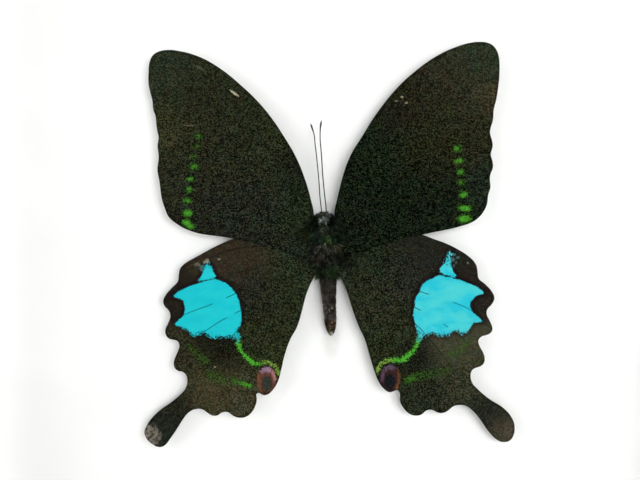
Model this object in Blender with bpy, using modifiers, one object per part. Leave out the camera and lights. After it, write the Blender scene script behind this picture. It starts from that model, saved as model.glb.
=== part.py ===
"""Framed butterfly specimen: a square box frame with a spread peacock swallowtail behind glass.

The frame stands on its bottom rail with its front towards -Y. The origin is under the middle of the box.
Lengths below are in millimetres and become metres through MM. Outlines of the insect are drawn on the
mount board as seen from the front: x to the right, then up, both from the middle of the frame.
"""

import math

import bmesh
import bpy
from mathutils import Matrix, Vector

MM = 0.001
GAP = 0.3

# Frame
FRAME_SIDE = 200.0
RAIL_WIDTH = 17.0
RAIL_DEPTH = 36.0
LIP_WIDTH = 5.0
LIP_DEPTH = 6.0
FRONT_OUTER_RADIUS = 2.4
FRONT_SIGHT_RADIUS = 1.2
HARDWARE_DEPTH = 3.0

# Pieces held in the rebate, front to back
GLASS_THICKNESS = 2.0
CAVITY_DEPTH = 14.0
BOARD_THICKNESS = 3.0
PANEL_THICKNESS = 3.0
POINT_THICKNESS = 0.6

# Hanging hardware
HANGER_LENGTH = 46.0
HANGER_HEIGHT = 8.0
HANGER_THICKNESS = 0.7
HANGER_TEETH = 9
TOOTH_PITCH = 3.0
TOOTH_DEPTH = 1.6
HANGER_FLAT = 17.5
HANGER_RISE_END = 14.8
NAIL_OFFSET = 20.3
NAIL_HOLE_RADIUS = 0.9
NAIL_HEAD_RADIUS = 1.6
BUMPER_RADIUS = 5.0
BUMPER_INSET = 10.0

# Derived places
FRONT = -(RAIL_DEPTH + HARDWARE_DEPTH) / 2
RAIL_BACK = FRONT + RAIL_DEPTH
WALL_PLANE = RAIL_BACK + HARDWARE_DEPTH
MIDDLE = FRAME_SIDE / 2
SIGHT_HALF = FRAME_SIDE / 2 - RAIL_WIDTH
REBATE_HALF = SIGHT_HALF + LIP_WIDTH
GLASS_FRONT = FRONT + LIP_DEPTH + GAP
SPACER_FRONT = GLASS_FRONT + GLASS_THICKNESS + GAP
BOARD_FRONT = SPACER_FRONT + CAVITY_DEPTH + GAP
PANEL_FRONT = BOARD_FRONT + BOARD_THICKNESS + GAP
POINT_FRONT = PANEL_FRONT + PANEL_THICKNESS + GAP

# Insect
WING_THICKNESS = 0.35
WING_CELL = 6.0
FOREWING_ROOT_HEIGHT = 5.0
FOREWING_DROOP = 0.022
HINDWING_ROOT_HEIGHT = 4.15
HINDWING_DROOP = 0.018
TAIL_START = -30.0
TAIL_DROOP = 0.010
ANTENNA_RADIUS = 0.13
CLUB_GROWTH = 1.6
LEG_RADIUS = 0.22
EYE_RADIUS = 1.05
EYE_SPREAD = 1.5
BODY_SIDES = 18

LEFT_FOREWING = [
    # Root along the thorax, upwards
    (-3.8, -3.2), (-4.15, -1.5), (-4.2, 0.5), (-4.0, 2.5), (-3.5, 4.0), (-3.3, 5.4), (-3.1, 7.0),
    # Leading edge to the apex
    (-3.7, 10.0), (-5.15, 15.0), (-7.2, 20.0), (-10.1, 25.0), (-12.8, 29.0), (-15.7, 32.6), (-20.0, 36.8),
    (-25.0, 40.9), (-30.0, 43.7), (-35.0, 45.15), (-37.6, 45.4), (-39.9, 44.95), (-41.1, 44.1), (-41.9, 42.4),
    # Wavy outer margin down to the rear corner
    (-42.15, 40.0), (-42.1, 37.5), (-41.7, 35.5), (-41.25, 33.5), (-41.05, 31.5), (-40.5, 30.0), (-40.3, 28.0),
    (-40.1, 26.3), (-39.8, 25.0), (-40.0, 23.0), (-39.8, 20.4), (-40.1, 17.3), (-39.7, 15.0), (-39.4, 12.3),
    (-39.1, 10.5), (-38.3, 8.0), (-37.7, 6.5), (-36.9, 5.5), (-35.6, 4.5), (-34.1, 3.6), (-32.3, 2.85),
    # Rear edge back to the root, the last stretch over the hindwing
    (-30.1, 2.2), (-27.1, 1.75), (-24.7, 1.45), (-22.0, 1.0), (-19.0, 0.4), (-15.0, -0.7), (-10.0, -2.3),
    (-6.0, -3.3),
]

RIGHT_FOREWING = [
    # Root along the thorax, upwards
    (3.4, -3.2), (3.6, -1.5), (3.5, 0.5), (2.95, 2.5), (2.3, 4.0), (2.0, 5.4), (1.75, 7.0),
    # Leading edge to the apex
    (2.35, 10.0), (3.55, 15.0), (5.3, 20.0), (8.3, 25.0), (11.6, 30.2), (15.9, 35.6), (20.0, 39.5),
    (25.0, 43.1), (30.0, 45.45), (33.7, 46.45), (35.8, 46.55), (37.1, 46.35), (38.3, 45.75), (39.15, 44.65),
    # Wavy outer margin down to the rear corner
    (39.65, 43.3), (39.9, 41.5), (39.85, 38.5), (39.6, 36.05), (39.2, 33.2), (38.6, 30.9), (38.4, 28.4),
    (38.05, 27.1), (37.8, 25.6), (38.2, 24.0), (38.4, 22.6), (38.0, 20.6), (38.4, 19.0), (38.5, 17.6),
    (37.9, 15.9), (37.8, 14.8), (37.95, 13.0), (37.45, 11.2), (37.15, 9.0), (36.15, 7.0), (35.3, 6.0),
    (34.0, 5.0),
    # Rear edge back to the root, the last stretch over the hindwing
    (31.3, 4.0), (27.1, 3.0), (24.8, 2.55), (22.2, 2.0), (19.0, 1.4), (15.0, 0.3), (10.0, -1.4), (6.0, -2.6),
]

LEFT_HINDWING = [
    # Front edge from the root, under the forewing and out to the first lobe
    (-4.1, -1.0), (-6.0, 0.6), (-10.0, 1.6), (-15.0, 2.0), (-19.0, 1.7), (-22.0, 1.0), (-25.0, -0.15),
    (-28.55, -1.95), (-31.4, -3.55), (-33.45, -4.7), (-34.9, -6.1), (-35.3, -7.7), (-35.5, -9.1),
    # Three lobes down to the tail
    (-36.95, -10.75), (-38.4, -12.4), (-39.05, -14.0), (-38.75, -15.1), (-37.8, -16.1), (-37.35, -17.5),
    (-37.8, -19.0), (-38.6, -20.9), (-38.45, -22.0), (-37.8, -22.85), (-36.8, -23.15), (-35.8, -23.4),
    (-35.2, -24.5), (-35.5, -25.7), (-36.45, -27.95), (-36.6, -29.0), (-36.3, -30.0), (-35.5, -30.6),
    (-34.55, -30.8), (-33.6, -31.6), (-33.3, -33.0), (-33.8, -34.75), (-34.7, -35.9),
    # Outer side of the tail, round its end and back
    (-37.1, -38.0), (-40.0, -40.1), (-42.35, -42.45), (-43.4, -44.1), (-43.85, -45.5), (-43.3, -47.0),
    (-41.8, -48.4), (-40.4, -49.0), (-39.1, -48.7), (-37.4, -46.65), (-35.6, -44.0), (-34.35, -42.05),
    # Two small lobes and the broad rear lobe
    (-32.9, -40.4), (-31.3, -39.7), (-29.7, -39.75), (-28.35, -40.6), (-27.3, -41.15), (-26.1, -41.1),
    (-25.0, -40.4), (-23.6, -40.3), (-22.4, -41.1), (-20.9, -41.6), (-19.2, -41.3), (-17.85, -40.2),
    (-17.0, -38.6), (-16.7, -37.1), (-16.75, -35.9),
    # Eyespot lobe, then the inner edge up to the root
    (-16.2, -35.6), (-15.3, -36.05), (-14.3, -36.05), (-12.9, -34.9), (-11.7, -33.0), (-10.85, -30.0),
    (-9.95, -26.3), (-8.6, -22.6), (-7.15, -20.0), (-5.65, -15.0), (-5.0, -12.5), (-4.05, -10.0),
    (-3.05, -8.0), (-2.6, -7.0), (-2.9, -5.6), (-3.6, -4.2), (-4.1, -2.5),
]

RIGHT_HINDWING = [
    # Front edge from the root, under the forewing and out to the first lobe
    (3.6, -1.0), (6.0, 1.2), (10.0, 2.4), (15.0, 2.9), (19.0, 2.7), (22.2, 2.0), (25.0, 0.95), (28.0, -0.15),
    (30.7, -1.5), (33.25, -3.2), (34.85, -5.1), (35.2, -6.8), (35.45, -8.2),
    # Three lobes down to the tail
    (37.05, -9.65), (38.5, -11.3), (39.1, -12.8), (38.4, -14.5), (37.65, -15.3), (37.35, -16.5),
    (38.1, -18.25), (38.7, -20.1), (38.3, -21.0), (37.4, -21.5), (36.3, -21.85), (35.5, -22.8), (35.6, -23.7),
    (36.7, -25.95), (36.95, -27.1), (36.75, -28.15), (36.05, -28.85), (35.1, -29.2), (34.1, -29.8),
    (33.7, -31.1), (34.1, -32.8), (35.1, -34.0),
    # Outer side of the tail, round its end and back
    (38.25, -36.7), (41.4, -38.7), (43.5, -41.2), (44.1, -43.4), (43.8, -45.2), (42.9, -46.4), (41.45, -46.75),
    (40.2, -46.4), (37.9, -44.2), (35.85, -41.25), (33.85, -39.05),
    # Two small lobes and the broad rear lobe
    (32.65, -38.3), (31.2, -38.05), (29.7, -38.4), (28.25, -39.5), (27.0, -39.95), (25.9, -39.8),
    (24.9, -39.3), (23.6, -39.3), (22.1, -40.4), (20.9, -40.6), (19.5, -40.25), (17.9, -38.7), (17.2, -37.2),
    (17.1, -35.3),
    # Eyespot lobe, then the inner edge up to the root
    (16.5, -34.6), (15.6, -34.9), (14.7, -35.1), (13.4, -34.3), (12.1, -32.5), (11.0, -29.65), (9.95, -26.15),
    (8.8, -22.4), (7.65, -20.0), (5.8, -15.0), (5.05, -12.5), (4.15, -10.0), (3.1, -8.0), (2.6, -7.0),
    (2.75, -5.6), (3.3, -4.2), (3.6, -2.5),
]

# The body, head to tail: place along it, half width, height of the middle over the board, half height
BODY_SECTIONS = [
    (7.3, 0.7, 3.3, 0.6), (6.9, 1.35, 3.3, 1.15), (6.2, 1.8, 3.35, 1.6), (5.4, 1.85, 3.35, 1.7),
    (4.7, 1.5, 3.2, 1.45), (4.2, 1.5, 3.2, 1.5), (3.5, 2.2, 3.35, 2.2), (2.4, 3.0, 3.55, 2.85),
    (1.0, 3.35, 3.65, 3.15), (-1.0, 3.45, 3.65, 3.25), (-3.0, 3.1, 3.5, 3.05), (-4.5, 2.5, 3.2, 2.55),
    (-5.6, 2.05, 2.95, 2.15), (-6.6, 2.1, 2.85, 2.15), (-7.7, 2.1, 2.75, 2.1), (-7.95, 2.0, 2.75, 2.0),
    (-8.3, 2.02, 2.7, 2.05), (-9.9, 1.86, 2.6, 1.95), (-10.15, 1.76, 2.6, 1.87), (-10.5, 1.78, 2.55, 1.9),
    (-12.1, 1.64, 2.45, 1.8), (-12.35, 1.55, 2.45, 1.72), (-12.7, 1.57, 2.4, 1.75), (-14.3, 1.48, 2.3, 1.68),
    (-14.55, 1.4, 2.3, 1.6), (-14.9, 1.42, 2.25, 1.63), (-16.5, 1.43, 2.15, 1.57), (-16.75, 1.34, 2.15, 1.5),
    (-17.1, 1.36, 2.1, 1.52), (-18.5, 1.34, 2.0, 1.4), (-18.75, 1.25, 2.0, 1.32), (-19.1, 1.26, 1.95, 1.33),
    (-20.3, 1.08, 1.85, 1.15), (-21.3, 0.8, 1.75, 0.85), (-22.0, 0.35, 1.7, 0.4),
]
BODY_LEAN = 0.0571
BODY_PIVOT = (-0.65, 6.0)

# Antennae and legs: points along each one as x, up, height over the board
LEFT_ANTENNA = [
    (-1.15, 6.1, 5.45), (-1.1, 7.0, 5.35), (-1.35, 8.5, 5.1), (-1.64, 11.05, 4.8), (-1.8, 13.6, 4.6),
    (-2.03, 16.3, 4.5), (-2.27, 18.65, 4.4), (-2.52, 21.0, 4.3), (-2.8, 23.35, 4.2), (-3.0, 25.3, 4.2),
    (-3.4, 26.65, 4.1), (-3.85, 28.0, 4.1),
]
RIGHT_ANTENNA = [
    (-0.2, 6.1, 5.45), (-0.12, 7.15, 5.35), (-0.27, 9.1, 5.1), (-0.55, 11.4, 4.8), (-0.82, 14.0, 4.6),
    (-1.05, 16.7, 4.5), (-1.21, 19.45, 4.4), (-1.39, 21.8, 4.3), (-1.58, 23.7, 4.2), (-1.62, 25.5, 4.2),
    (-1.54, 27.2, 4.1), (-1.3, 28.7, 4.1),
]
CLUB_POINTS = 3
# Outward reach from the body's middle line, place along the body, height
LEG_ROUTES = {
    "front": [(3.4, 3.2, 1.6), (5.2, 4.6, 2.4), (6.4, 5.6, 0.9), (7.6, 7.2, 0.6)],
    "middle": [(4.1, 0.2, 1.6), (6.2, 0.2, 2.5), (8.0, -0.6, 0.9), (10.2, -1.4, 0.6)],
    "hind": [(3.9, -2.4, 1.6), (5.6, -4.2, 2.4), (7.2, -6.4, 0.9), (8.6, -9.0, 0.6)],
}

COLOURS = {
    "wood": ((0.055, 0.034, 0.024), 0.45, 0.0),
    "glass": ((0.9, 0.95, 0.94), 0.05, 0.0),
    "white_card": ((0.9, 0.9, 0.89), 0.85, 0.0),
    "hardboard": ((0.34, 0.2, 0.11), 0.75, 0.0),
    "steel": ((0.6, 0.6, 0.58), 0.35, 1.0),
    "rubber": ((0.06, 0.06, 0.06), 0.8, 0.0),
    "forewing": ((0.02, 0.024, 0.014), 0.6, 0.0),
    "hindwing": ((0.03, 0.028, 0.018), 0.6, 0.0),
    "insect_body": ((0.03, 0.028, 0.024), 0.8, 0.0),
}


def clear_scene():
    """Removes what the scene holds at the start."""
    for obj in list(bpy.data.objects):
        bpy.data.objects.remove(obj, do_unlink=True)


def make_collection(name):
    """A new collection under the scene's own."""
    collection = bpy.data.collections.new(name)
    bpy.context.scene.collection.children.link(collection)
    return collection


def make_material(name):
    """A Principled material with the colour, roughness and metallic value in COLOURS."""
    colour, roughness, metallic = COLOURS[name]
    material = bpy.data.materials.new(name)
    material.use_nodes = True
    shader = material.node_tree.nodes["Principled BSDF"]
    shader.inputs["Base Color"].default_value = (*colour, 1.0)
    shader.inputs["Roughness"].default_value = roughness
    shader.inputs["Metallic"].default_value = metallic
    return material


def add_mesh(name, mesh, material, collection, parent=None):
    """A mesh object in its collection, with its material and parent."""
    obj = bpy.data.objects.new(name, mesh)
    collection.objects.link(obj)
    obj.data.materials.clear()
    obj.data.materials.append(material)
    obj.parent = parent
    return obj


def add_box(name, low, high, material, collection):
    """A box between two corners given in millimetres."""
    low, high = Vector(low), Vector(high)
    mesh = bpy.data.meshes.new(name)
    made = bmesh.new()
    bmesh.ops.create_cube(made, size=1.0, matrix=Matrix.Diagonal((*((high - low) * MM), 1.0)))
    made.to_mesh(mesh)
    made.free()
    obj = add_mesh(name, mesh, material, collection)
    obj.location = (low + high) / 2 * MM
    return obj


def flat_outline(name, outlines, half_thickness=0.0, spline_type="POLY", resolution=2):
    """The mesh of a flat filled outline in the XY plane, from lists of points in millimetres."""
    curve = bpy.data.curves.new(name, "CURVE")
    curve.dimensions = "2D"
    curve.fill_mode = "BOTH"
    curve.extrude = half_thickness * MM
    curve.resolution_u = resolution
    for points in outlines:
        spline = curve.splines.new(spline_type)
        if spline_type == "BEZIER":
            spline.bezier_points.add(len(points) - 1)
            for knot, (x, y) in zip(spline.bezier_points, points):
                knot.co = (x * MM, y * MM, 0.0)
                knot.handle_left_type = knot.handle_right_type = "AUTO"
        else:
            spline.points.add(len(points) - 1)
            for knot, (x, y) in zip(spline.points, points):
                knot.co = (x * MM, y * MM, 0.0, 1.0)
        spline.use_cyclic_u = True
    return mesh_of_curve(name, curve)


def mesh_of_curve(name, curve):
    """The evaluated mesh of a curve, its caps welded to its sides."""
    helper = bpy.data.objects.new(name + "_curve", curve)
    bpy.context.scene.collection.objects.link(helper)
    graph = bpy.context.evaluated_depsgraph_get()
    mesh = bpy.data.meshes.new_from_object(helper.evaluated_get(graph))
    bpy.data.objects.remove(helper, do_unlink=True)
    made = bmesh.new()
    made.from_mesh(mesh)
    bmesh.ops.remove_doubles(made, verts=made.verts, dist=0.002 * MM)
    bmesh.ops.recalc_face_normals(made, faces=made.faces)
    made.to_mesh(mesh)
    made.free()
    mesh.name = name
    return mesh


def rounded_corner(corner, towards_start, towards_end, radius, steps):
    """Points of an arc that rounds a square corner between two unit directions."""
    corner, start, end = Vector(corner), Vector(towards_start), Vector(towards_end)
    centre = corner + (start + end) * radius
    points = []
    for step in range(steps + 1):
        angle = math.pi / 2 * step / steps
        points.append(tuple(centre - end * radius * math.cos(angle) - start * radius * math.sin(angle)))
    return points


def rail_profile():
    """The rail's section: x outwards from the sight edge, y back from the front face."""
    outer = rounded_corner((RAIL_WIDTH, 0), (-1, 0), (0, 1), FRONT_OUTER_RADIUS, 5)
    sight = rounded_corner((0, 0), (0, 1), (1, 0), FRONT_SIGHT_RADIUS, 3)
    return [
        *sight,
        *outer,
        (RAIL_WIDTH, RAIL_DEPTH),
        (LIP_WIDTH, RAIL_DEPTH),
        (LIP_WIDTH, LIP_DEPTH),
        (0, LIP_DEPTH),
    ]


def add_rail(name, turn, material, collection):
    """One mitred rail. At no turn it is the bottom one; turn is in quarter turns about Y."""
    mesh = flat_outline(name, [rail_profile()], half_thickness=FRAME_SIDE / 2)
    # Section x points down from the sight edge, section y points back, the extrusion runs along X.
    section_to_rail = Matrix(((0, 0, 1, 0), (0, 1, 0, FRONT * MM), (-1, 0, 0, -SIGHT_HALF * MM), (0, 0, 0, 1)))
    made = bmesh.new()
    made.from_mesh(mesh)
    bmesh.ops.transform(made, matrix=section_to_rail, verts=made.verts)
    for side in (-1, 1):
        cut = bmesh.ops.bisect_plane(
            made,
            geom=[*made.verts, *made.edges, *made.faces],
            plane_co=(-side * GAP / 2 * math.sqrt(2) * MM, 0, 0),
            plane_no=(side, 0, 1),
            clear_outer=True,
        )
        rim = [item for item in cut["geom_cut"] if isinstance(item, bmesh.types.BMEdge)]
        bmesh.ops.holes_fill(made, edges=rim)
    bmesh.ops.recalc_face_normals(made, faces=made.faces)
    bmesh.ops.transform(made, matrix=Matrix.Rotation(turn * math.pi / 2, 4, "Y"), verts=made.verts)
    made.to_mesh(mesh)
    made.free()
    rail = add_mesh(name, mesh, material, collection)
    rail.location.z = MIDDLE * MM
    shade_by_angle(rail.data)
    return rail


def shade_by_angle(mesh, degrees=35.0):
    """Smooth shading that keeps the sharp edges."""
    mesh.shade_smooth()
    mesh.set_sharp_from_angle(angle=math.radians(degrees))


def build_rails(materials, collection):
    """The four mitred rails."""
    for turn, side in enumerate(("bottom", "left", "top", "right")):
        add_rail(f"frame_rail_{side}", turn, materials["wood"], collection)


def build_filling(materials, collection):
    """The glass, spacers, mount board and back panel, which the rails hold."""
    half = REBATE_HALF - GAP
    add_box(
        "glass_pane",
        (-half, GLASS_FRONT, MIDDLE - half),
        (half, GLASS_FRONT + GLASS_THICKNESS, MIDDLE + half),
        materials["glass"],
        collection,
    )
    inner = half - LIP_WIDTH + GAP
    back = SPACER_FRONT + CAVITY_DEPTH
    for side, low_z, high_z in (("bottom", -half, -inner), ("top", inner, half)):
        add_box(
            f"spacer_{side}",
            (-half, SPACER_FRONT, MIDDLE + low_z),
            (half, back, MIDDLE + high_z),
            materials["white_card"],
            collection,
        )
    for side, low_x, high_x in (("left", -half, -inner), ("right", inner, half)):
        add_box(
            f"spacer_{side}",
            (low_x, SPACER_FRONT, MIDDLE - inner + GAP),
            (high_x, back, MIDDLE + inner - GAP),
            materials["white_card"],
            collection,
        )
    for name, front, thickness, finish in (
        ("mount_board", BOARD_FRONT, BOARD_THICKNESS, "white_card"),
        ("back_panel", PANEL_FRONT, PANEL_THICKNESS, "hardboard"),
    ):
        add_box(
            name,
            (-half, front, MIDDLE - half),
            (half, front + thickness, MIDDLE + half),
            materials[finish],
            collection,
        )


def build_points(materials, collection):
    """Two framer's points on each side, pressed flat on the back panel."""
    outline = [(-4.0, 0.0), (-4.0, 3.0), (-1.0, 8.5), (1.0, 8.5), (4.0, 3.0), (4.0, 0.0)]
    reach = REBATE_HALF - GAP
    number = 0
    for turn in range(4):
        for offset in (-45.0, 45.0):
            number += 1
            name = f"framer_point_{number}"
            mesh = flat_outline(name, [outline], half_thickness=POINT_THICKNESS / 2)
            to_bottom = Matrix.Translation((offset * MM, 0, -reach * MM)) @ Matrix.Rotation(math.pi / 2, 4, "X")
            mesh.transform(Matrix.Rotation(turn * math.pi / 2, 4, "Y") @ to_bottom)
            point = add_mesh(name, mesh, materials["steel"], collection)
            point.location = (0, (POINT_FRONT + POINT_THICKNESS / 2) * MM, MIDDLE * MM)


def hanger_outline():
    """The sawtooth hanger from behind: a strip with teeth along the middle of its lower edge."""
    half_length, half_height = HANGER_LENGTH / 2, HANGER_HEIGHT / 2
    points = [(half_length, -half_height), (half_length, half_height)]
    points += [(x, half_height) for x in (HANGER_FLAT, HANGER_RISE_END, -HANGER_RISE_END, -HANGER_FLAT)]
    points += [(-half_length, half_height), (-half_length, -half_height)]
    points += [(-HANGER_FLAT, -half_height), (-HANGER_RISE_END, -half_height)]
    first = -TOOTH_PITCH * (HANGER_TEETH - 1) / 2
    for tooth in range(HANGER_TEETH):
        x = first + tooth * TOOTH_PITCH
        points += [(x - TOOTH_PITCH / 2 * 0.9, -half_height), (x, -half_height + TOOTH_DEPTH)]
    points += [(-first + TOOTH_PITCH / 2 * 0.9, -half_height)]
    points += [(HANGER_RISE_END, -half_height), (HANGER_FLAT, -half_height)]
    return points


def circle(x, y, radius, steps=12):
    """Points of a circle."""
    turns = [2 * math.pi * step / steps for step in range(steps)]
    return [(x + radius * math.cos(turn), y + radius * math.sin(turn)) for turn in turns]


def build_hanger(materials, collection):
    """The sawtooth hanger on the back of the top rail, with its two nails."""
    holes = [circle(side * NAIL_OFFSET, 0, NAIL_HOLE_RADIUS) for side in (-1, 1)]
    mesh = flat_outline("sawtooth_hanger", [hanger_outline(), *holes], half_thickness=HANGER_THICKNESS / 2)
    made = bmesh.new()
    made.from_mesh(mesh)
    rise = HARDWARE_DEPTH - GAP - HANGER_THICKNESS
    for side in (-1, 1):
        for bend in (HANGER_FLAT, HANGER_RISE_END):
            bmesh.ops.bisect_plane(
                made,
                geom=[*made.verts, *made.edges, *made.faces],
                plane_co=(side * bend * MM, 0, 0),
                plane_no=(1, 0, 0),
            )
    for vert in made.verts:
        reach = (HANGER_FLAT - abs(vert.co.x) / MM) / (HANGER_FLAT - HANGER_RISE_END)
        vert.co.z += rise * MM * min(1.0, max(0.0, reach))
    made.to_mesh(mesh)
    made.free()
    centre = Vector((0, RAIL_BACK + GAP + HANGER_THICKNESS / 2, FRAME_SIDE - RAIL_WIDTH / 2 + 0.5))
    # Turned so that the strip's face looks back and its teeth point down.
    mesh.transform(Matrix.Rotation(-math.pi / 2, 4, "X") @ Matrix.Rotation(math.pi, 4, "Z"))
    hanger = add_mesh("sawtooth_hanger", mesh, materials["steel"], collection)
    hanger.location = centre * MM
    for side, label in ((-1, "left"), (1, "right")):
        add_nail(f"hanger_nail_{label}", centre + Vector((side * NAIL_OFFSET, 0, 0)), materials, collection)


def turned(name, profile, material, collection, steps=16):
    """A turned solid from a profile of radius and height, in millimetres, about its own Z."""
    mesh = bpy.data.meshes.new(name)
    mesh.from_pydata([(r * MM, 0, z * MM) for r, z in profile], [(i, i + 1) for i in range(len(profile) - 1)], [])
    obj = add_mesh(name, mesh, material, collection)
    screw = obj.modifiers.new("turn", "SCREW")
    screw.steps = screw.render_steps = steps
    screw.use_merge_vertices = True
    screw.merge_threshold = 0.00001
    screw.use_smooth_shade = False
    return obj


def add_nail(name, place, materials, collection):
    """A pin with a low domed head, through the end of the hanger."""
    under = HANGER_THICKNESS / 2 + GAP
    profile = [
        (0.0, under + 0.75),
        (NAIL_HEAD_RADIUS * 0.6, under + 0.65),
        (NAIL_HEAD_RADIUS, under + 0.3),
        (NAIL_HEAD_RADIUS, under),
        (NAIL_HOLE_RADIUS - GAP, under),
        (NAIL_HOLE_RADIUS - GAP, -HANGER_THICKNESS / 2),
        (0.0, -HANGER_THICKNESS / 2),
    ]
    nail = turned(name, profile, materials["steel"], collection, steps=12)
    nail.location = place * MM
    nail.rotation_euler = (-math.pi / 2, 0, 0)


def build_bumpers(materials, collection):
    """Two rubber discs at the lower corners of the back, which keep the frame upright on a wall."""
    thickness = HARDWARE_DEPTH - GAP
    profile = [
        (0.0, thickness),
        (BUMPER_RADIUS - 0.8, thickness),
        (BUMPER_RADIUS, thickness - 0.8),
        (BUMPER_RADIUS, 0.0),
        (0.0, 0.0),
    ]
    for side, label in ((-1, "left"), (1, "right")):
        bumper = turned(f"bumper_{label}", profile, materials["rubber"], collection, steps=24)
        x = side * (FRAME_SIDE / 2 - RAIL_WIDTH + LIP_WIDTH + (RAIL_WIDTH - LIP_WIDTH) / 2)
        bumper.location = (x * MM, (RAIL_BACK + GAP) * MM, (RAIL_WIDTH + BUMPER_INSET) * MM)
        bumper.rotation_euler = (-math.pi / 2, 0, 0)


def forewing_height(x, y):
    """Height of a forewing's middle surface over the board."""
    return FOREWING_ROOT_HEIGHT - FOREWING_DROOP * abs(x)


def hindwing_height(x, y):
    """Height of a hindwing's middle surface over the board."""
    return HINDWING_ROOT_HEIGHT - HINDWING_DROOP * abs(x) - TAIL_DROOP * max(0.0, TAIL_START - y)


def add_wing(name, outline, height_at, material, collection, parent):
    """One wing: its outline filled, cut into cells so that it can curve, lifted and given its thickness."""
    mesh = flat_outline(name, [outline], spline_type="BEZIER", resolution=2)
    made = bmesh.new()
    made.from_mesh(mesh)
    bmesh.ops.dissolve_faces(made, faces=made.faces)
    xs = [x for x, _ in outline]
    ys = [y for _, y in outline]
    for axis, low, high in ((0, min(xs), max(xs)), (1, min(ys), max(ys))):
        cells = max(1, round((high - low) / WING_CELL))
        for step in range(1, cells):
            place, direction = Vector((0, 0, 0)), Vector((0, 0, 0))
            place[axis] = (low + (high - low) * step / cells) * MM
            direction[axis] = 1.0
            geometry = [*made.verts, *made.edges, *made.faces]
            bmesh.ops.bisect_plane(made, geom=geometry, plane_co=place, plane_no=direction)
    bmesh.ops.triangulate(made, faces=made.faces)
    for vert in made.verts:
        vert.co.z = height_at(vert.co.x / MM, vert.co.y / MM) * MM
    bmesh.ops.recalc_face_normals(made, faces=made.faces)
    made.to_mesh(mesh)
    made.free()
    wing = add_mesh(name, mesh, material, collection, parent)
    solid = wing.modifiers.new("thickness", "SOLIDIFY")
    solid.thickness = WING_THICKNESS * MM
    solid.offset = 0.0
    return wing


def body_middle(along):
    """x of the body's middle line at a place along it, because the specimen leans a little."""
    return BODY_PIVOT[0] - BODY_LEAN * (along - BODY_PIVOT[1])


def add_body(materials, collection, cutters, parent):
    """Head, thorax and abdomen in one: a loft of oval sections, joined to the two eyes."""
    mesh = bpy.data.meshes.new("body")
    made = bmesh.new()
    rings = []
    for along, half_width, middle, half_height in BODY_SECTIONS:
        ring = []
        for side in range(BODY_SIDES):
            angle = 2 * math.pi * side / BODY_SIDES
            x = body_middle(along) + half_width * math.cos(angle)
            ring.append(made.verts.new((x * MM, along * MM, (middle + half_height * math.sin(angle)) * MM)))
        rings.append(ring)
    edges = [made.edges.new((ring[i], ring[(i + 1) % BODY_SIDES])) for ring in rings for i in range(BODY_SIDES)]
    for first in range(len(rings) - 1):
        pair = edges[first * BODY_SIDES:(first + 2) * BODY_SIDES]
        bmesh.ops.bridge_loops(made, edges=pair)
    bmesh.ops.holes_fill(made, edges=made.edges)
    bmesh.ops.recalc_face_normals(made, faces=made.faces)
    made.to_mesh(mesh)
    made.free()
    body = add_mesh("body", mesh, materials["insect_body"], collection, parent)
    for side in (-1, 1):
        eye = bpy.data.meshes.new("eye")
        made = bmesh.new()
        place = Vector((body_middle(5.9) + side * EYE_SPREAD, 5.9, 3.35)) * MM
        bmesh.ops.create_uvsphere(
            made, u_segments=14, v_segments=9, radius=EYE_RADIUS * MM, matrix=Matrix.Translation(place)
        )
        made.to_mesh(eye)
        made.free()
        cutter = add_mesh(f"eye_form_{side}", eye, materials["insect_body"], cutters, parent)
        cutter.hide_render = True
        cutter.display_type = "WIRE"
        join = body.modifiers.new("eye", "BOOLEAN")
        join.operation = "UNION"
        join.object = cutter
    return body


def add_tube(name, points, radii, material, collection, parent, sides=1):
    """A tube along points in millimetres, with a radius at each."""
    curve = bpy.data.curves.new(name, "CURVE")
    curve.dimensions = "3D"
    curve.bevel_depth = MM
    curve.bevel_resolution = sides
    curve.use_fill_caps = True
    spline = curve.splines.new("POLY")
    spline.points.add(len(points) - 1)
    for knot, point, radius in zip(spline.points, points, radii):
        knot.co = (*(Vector(point) * MM), 1.0)
        knot.radius = radius
    return add_mesh(name, mesh_of_curve(name, curve), material, collection, parent)


def build_insect(materials, collection, cutters):
    """The butterfly, drawn flat on the board and turned up with it."""
    specimen = bpy.data.objects.new("specimen", None)
    collection.objects.link(specimen)
    specimen.location = (0, BOARD_FRONT * MM, MIDDLE * MM)
    specimen.rotation_euler = (math.pi / 2, 0, 0)
    for name, outline, height_at, finish in (
        ("forewing_left", LEFT_FOREWING, forewing_height, "forewing"),
        ("forewing_right", RIGHT_FOREWING, forewing_height, "forewing"),
        ("hindwing_left", LEFT_HINDWING, hindwing_height, "hindwing"),
        ("hindwing_right", RIGHT_HINDWING, hindwing_height, "hindwing"),
    ):
        add_wing(name, outline, height_at, materials[finish], collection, specimen)
    add_body(materials, collection, cutters, specimen)
    for name, points in (("antenna_left", LEFT_ANTENNA), ("antenna_right", RIGHT_ANTENNA)):
        stem = [ANTENNA_RADIUS] * (len(points) - CLUB_POINTS)
        club = [ANTENNA_RADIUS * growth for growth in (1.2, CLUB_GROWTH, 1.2)]
        add_tube(name, points, stem + club, materials["insect_body"], collection, specimen)
    for side, label in ((-1, "left"), (1, "right")):
        for pair, route in LEG_ROUTES.items():
            points = [(body_middle(along) + side * out, along, height) for out, along, height in route]
            radii = [LEG_RADIUS * 1.2, LEG_RADIUS, LEG_RADIUS * 0.8, LEG_RADIUS * 0.6]
            add_tube(f"leg_{pair}_{label}", points, radii, materials["insect_body"], collection, specimen)


def main():
    """Builds the frame, then the insect in it."""
    clear_scene()
    parts = make_collection("framed_butterfly")
    cutters = make_collection("forms")
    materials = {name: make_material(name) for name in COLOURS}
    build_rails(materials, parts)
    build_filling(materials, parts)
    build_points(materials, parts)
    build_hanger(materials, parts)
    build_bumpers(materials, parts)
    build_insect(materials, parts, cutters)


main()
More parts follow.
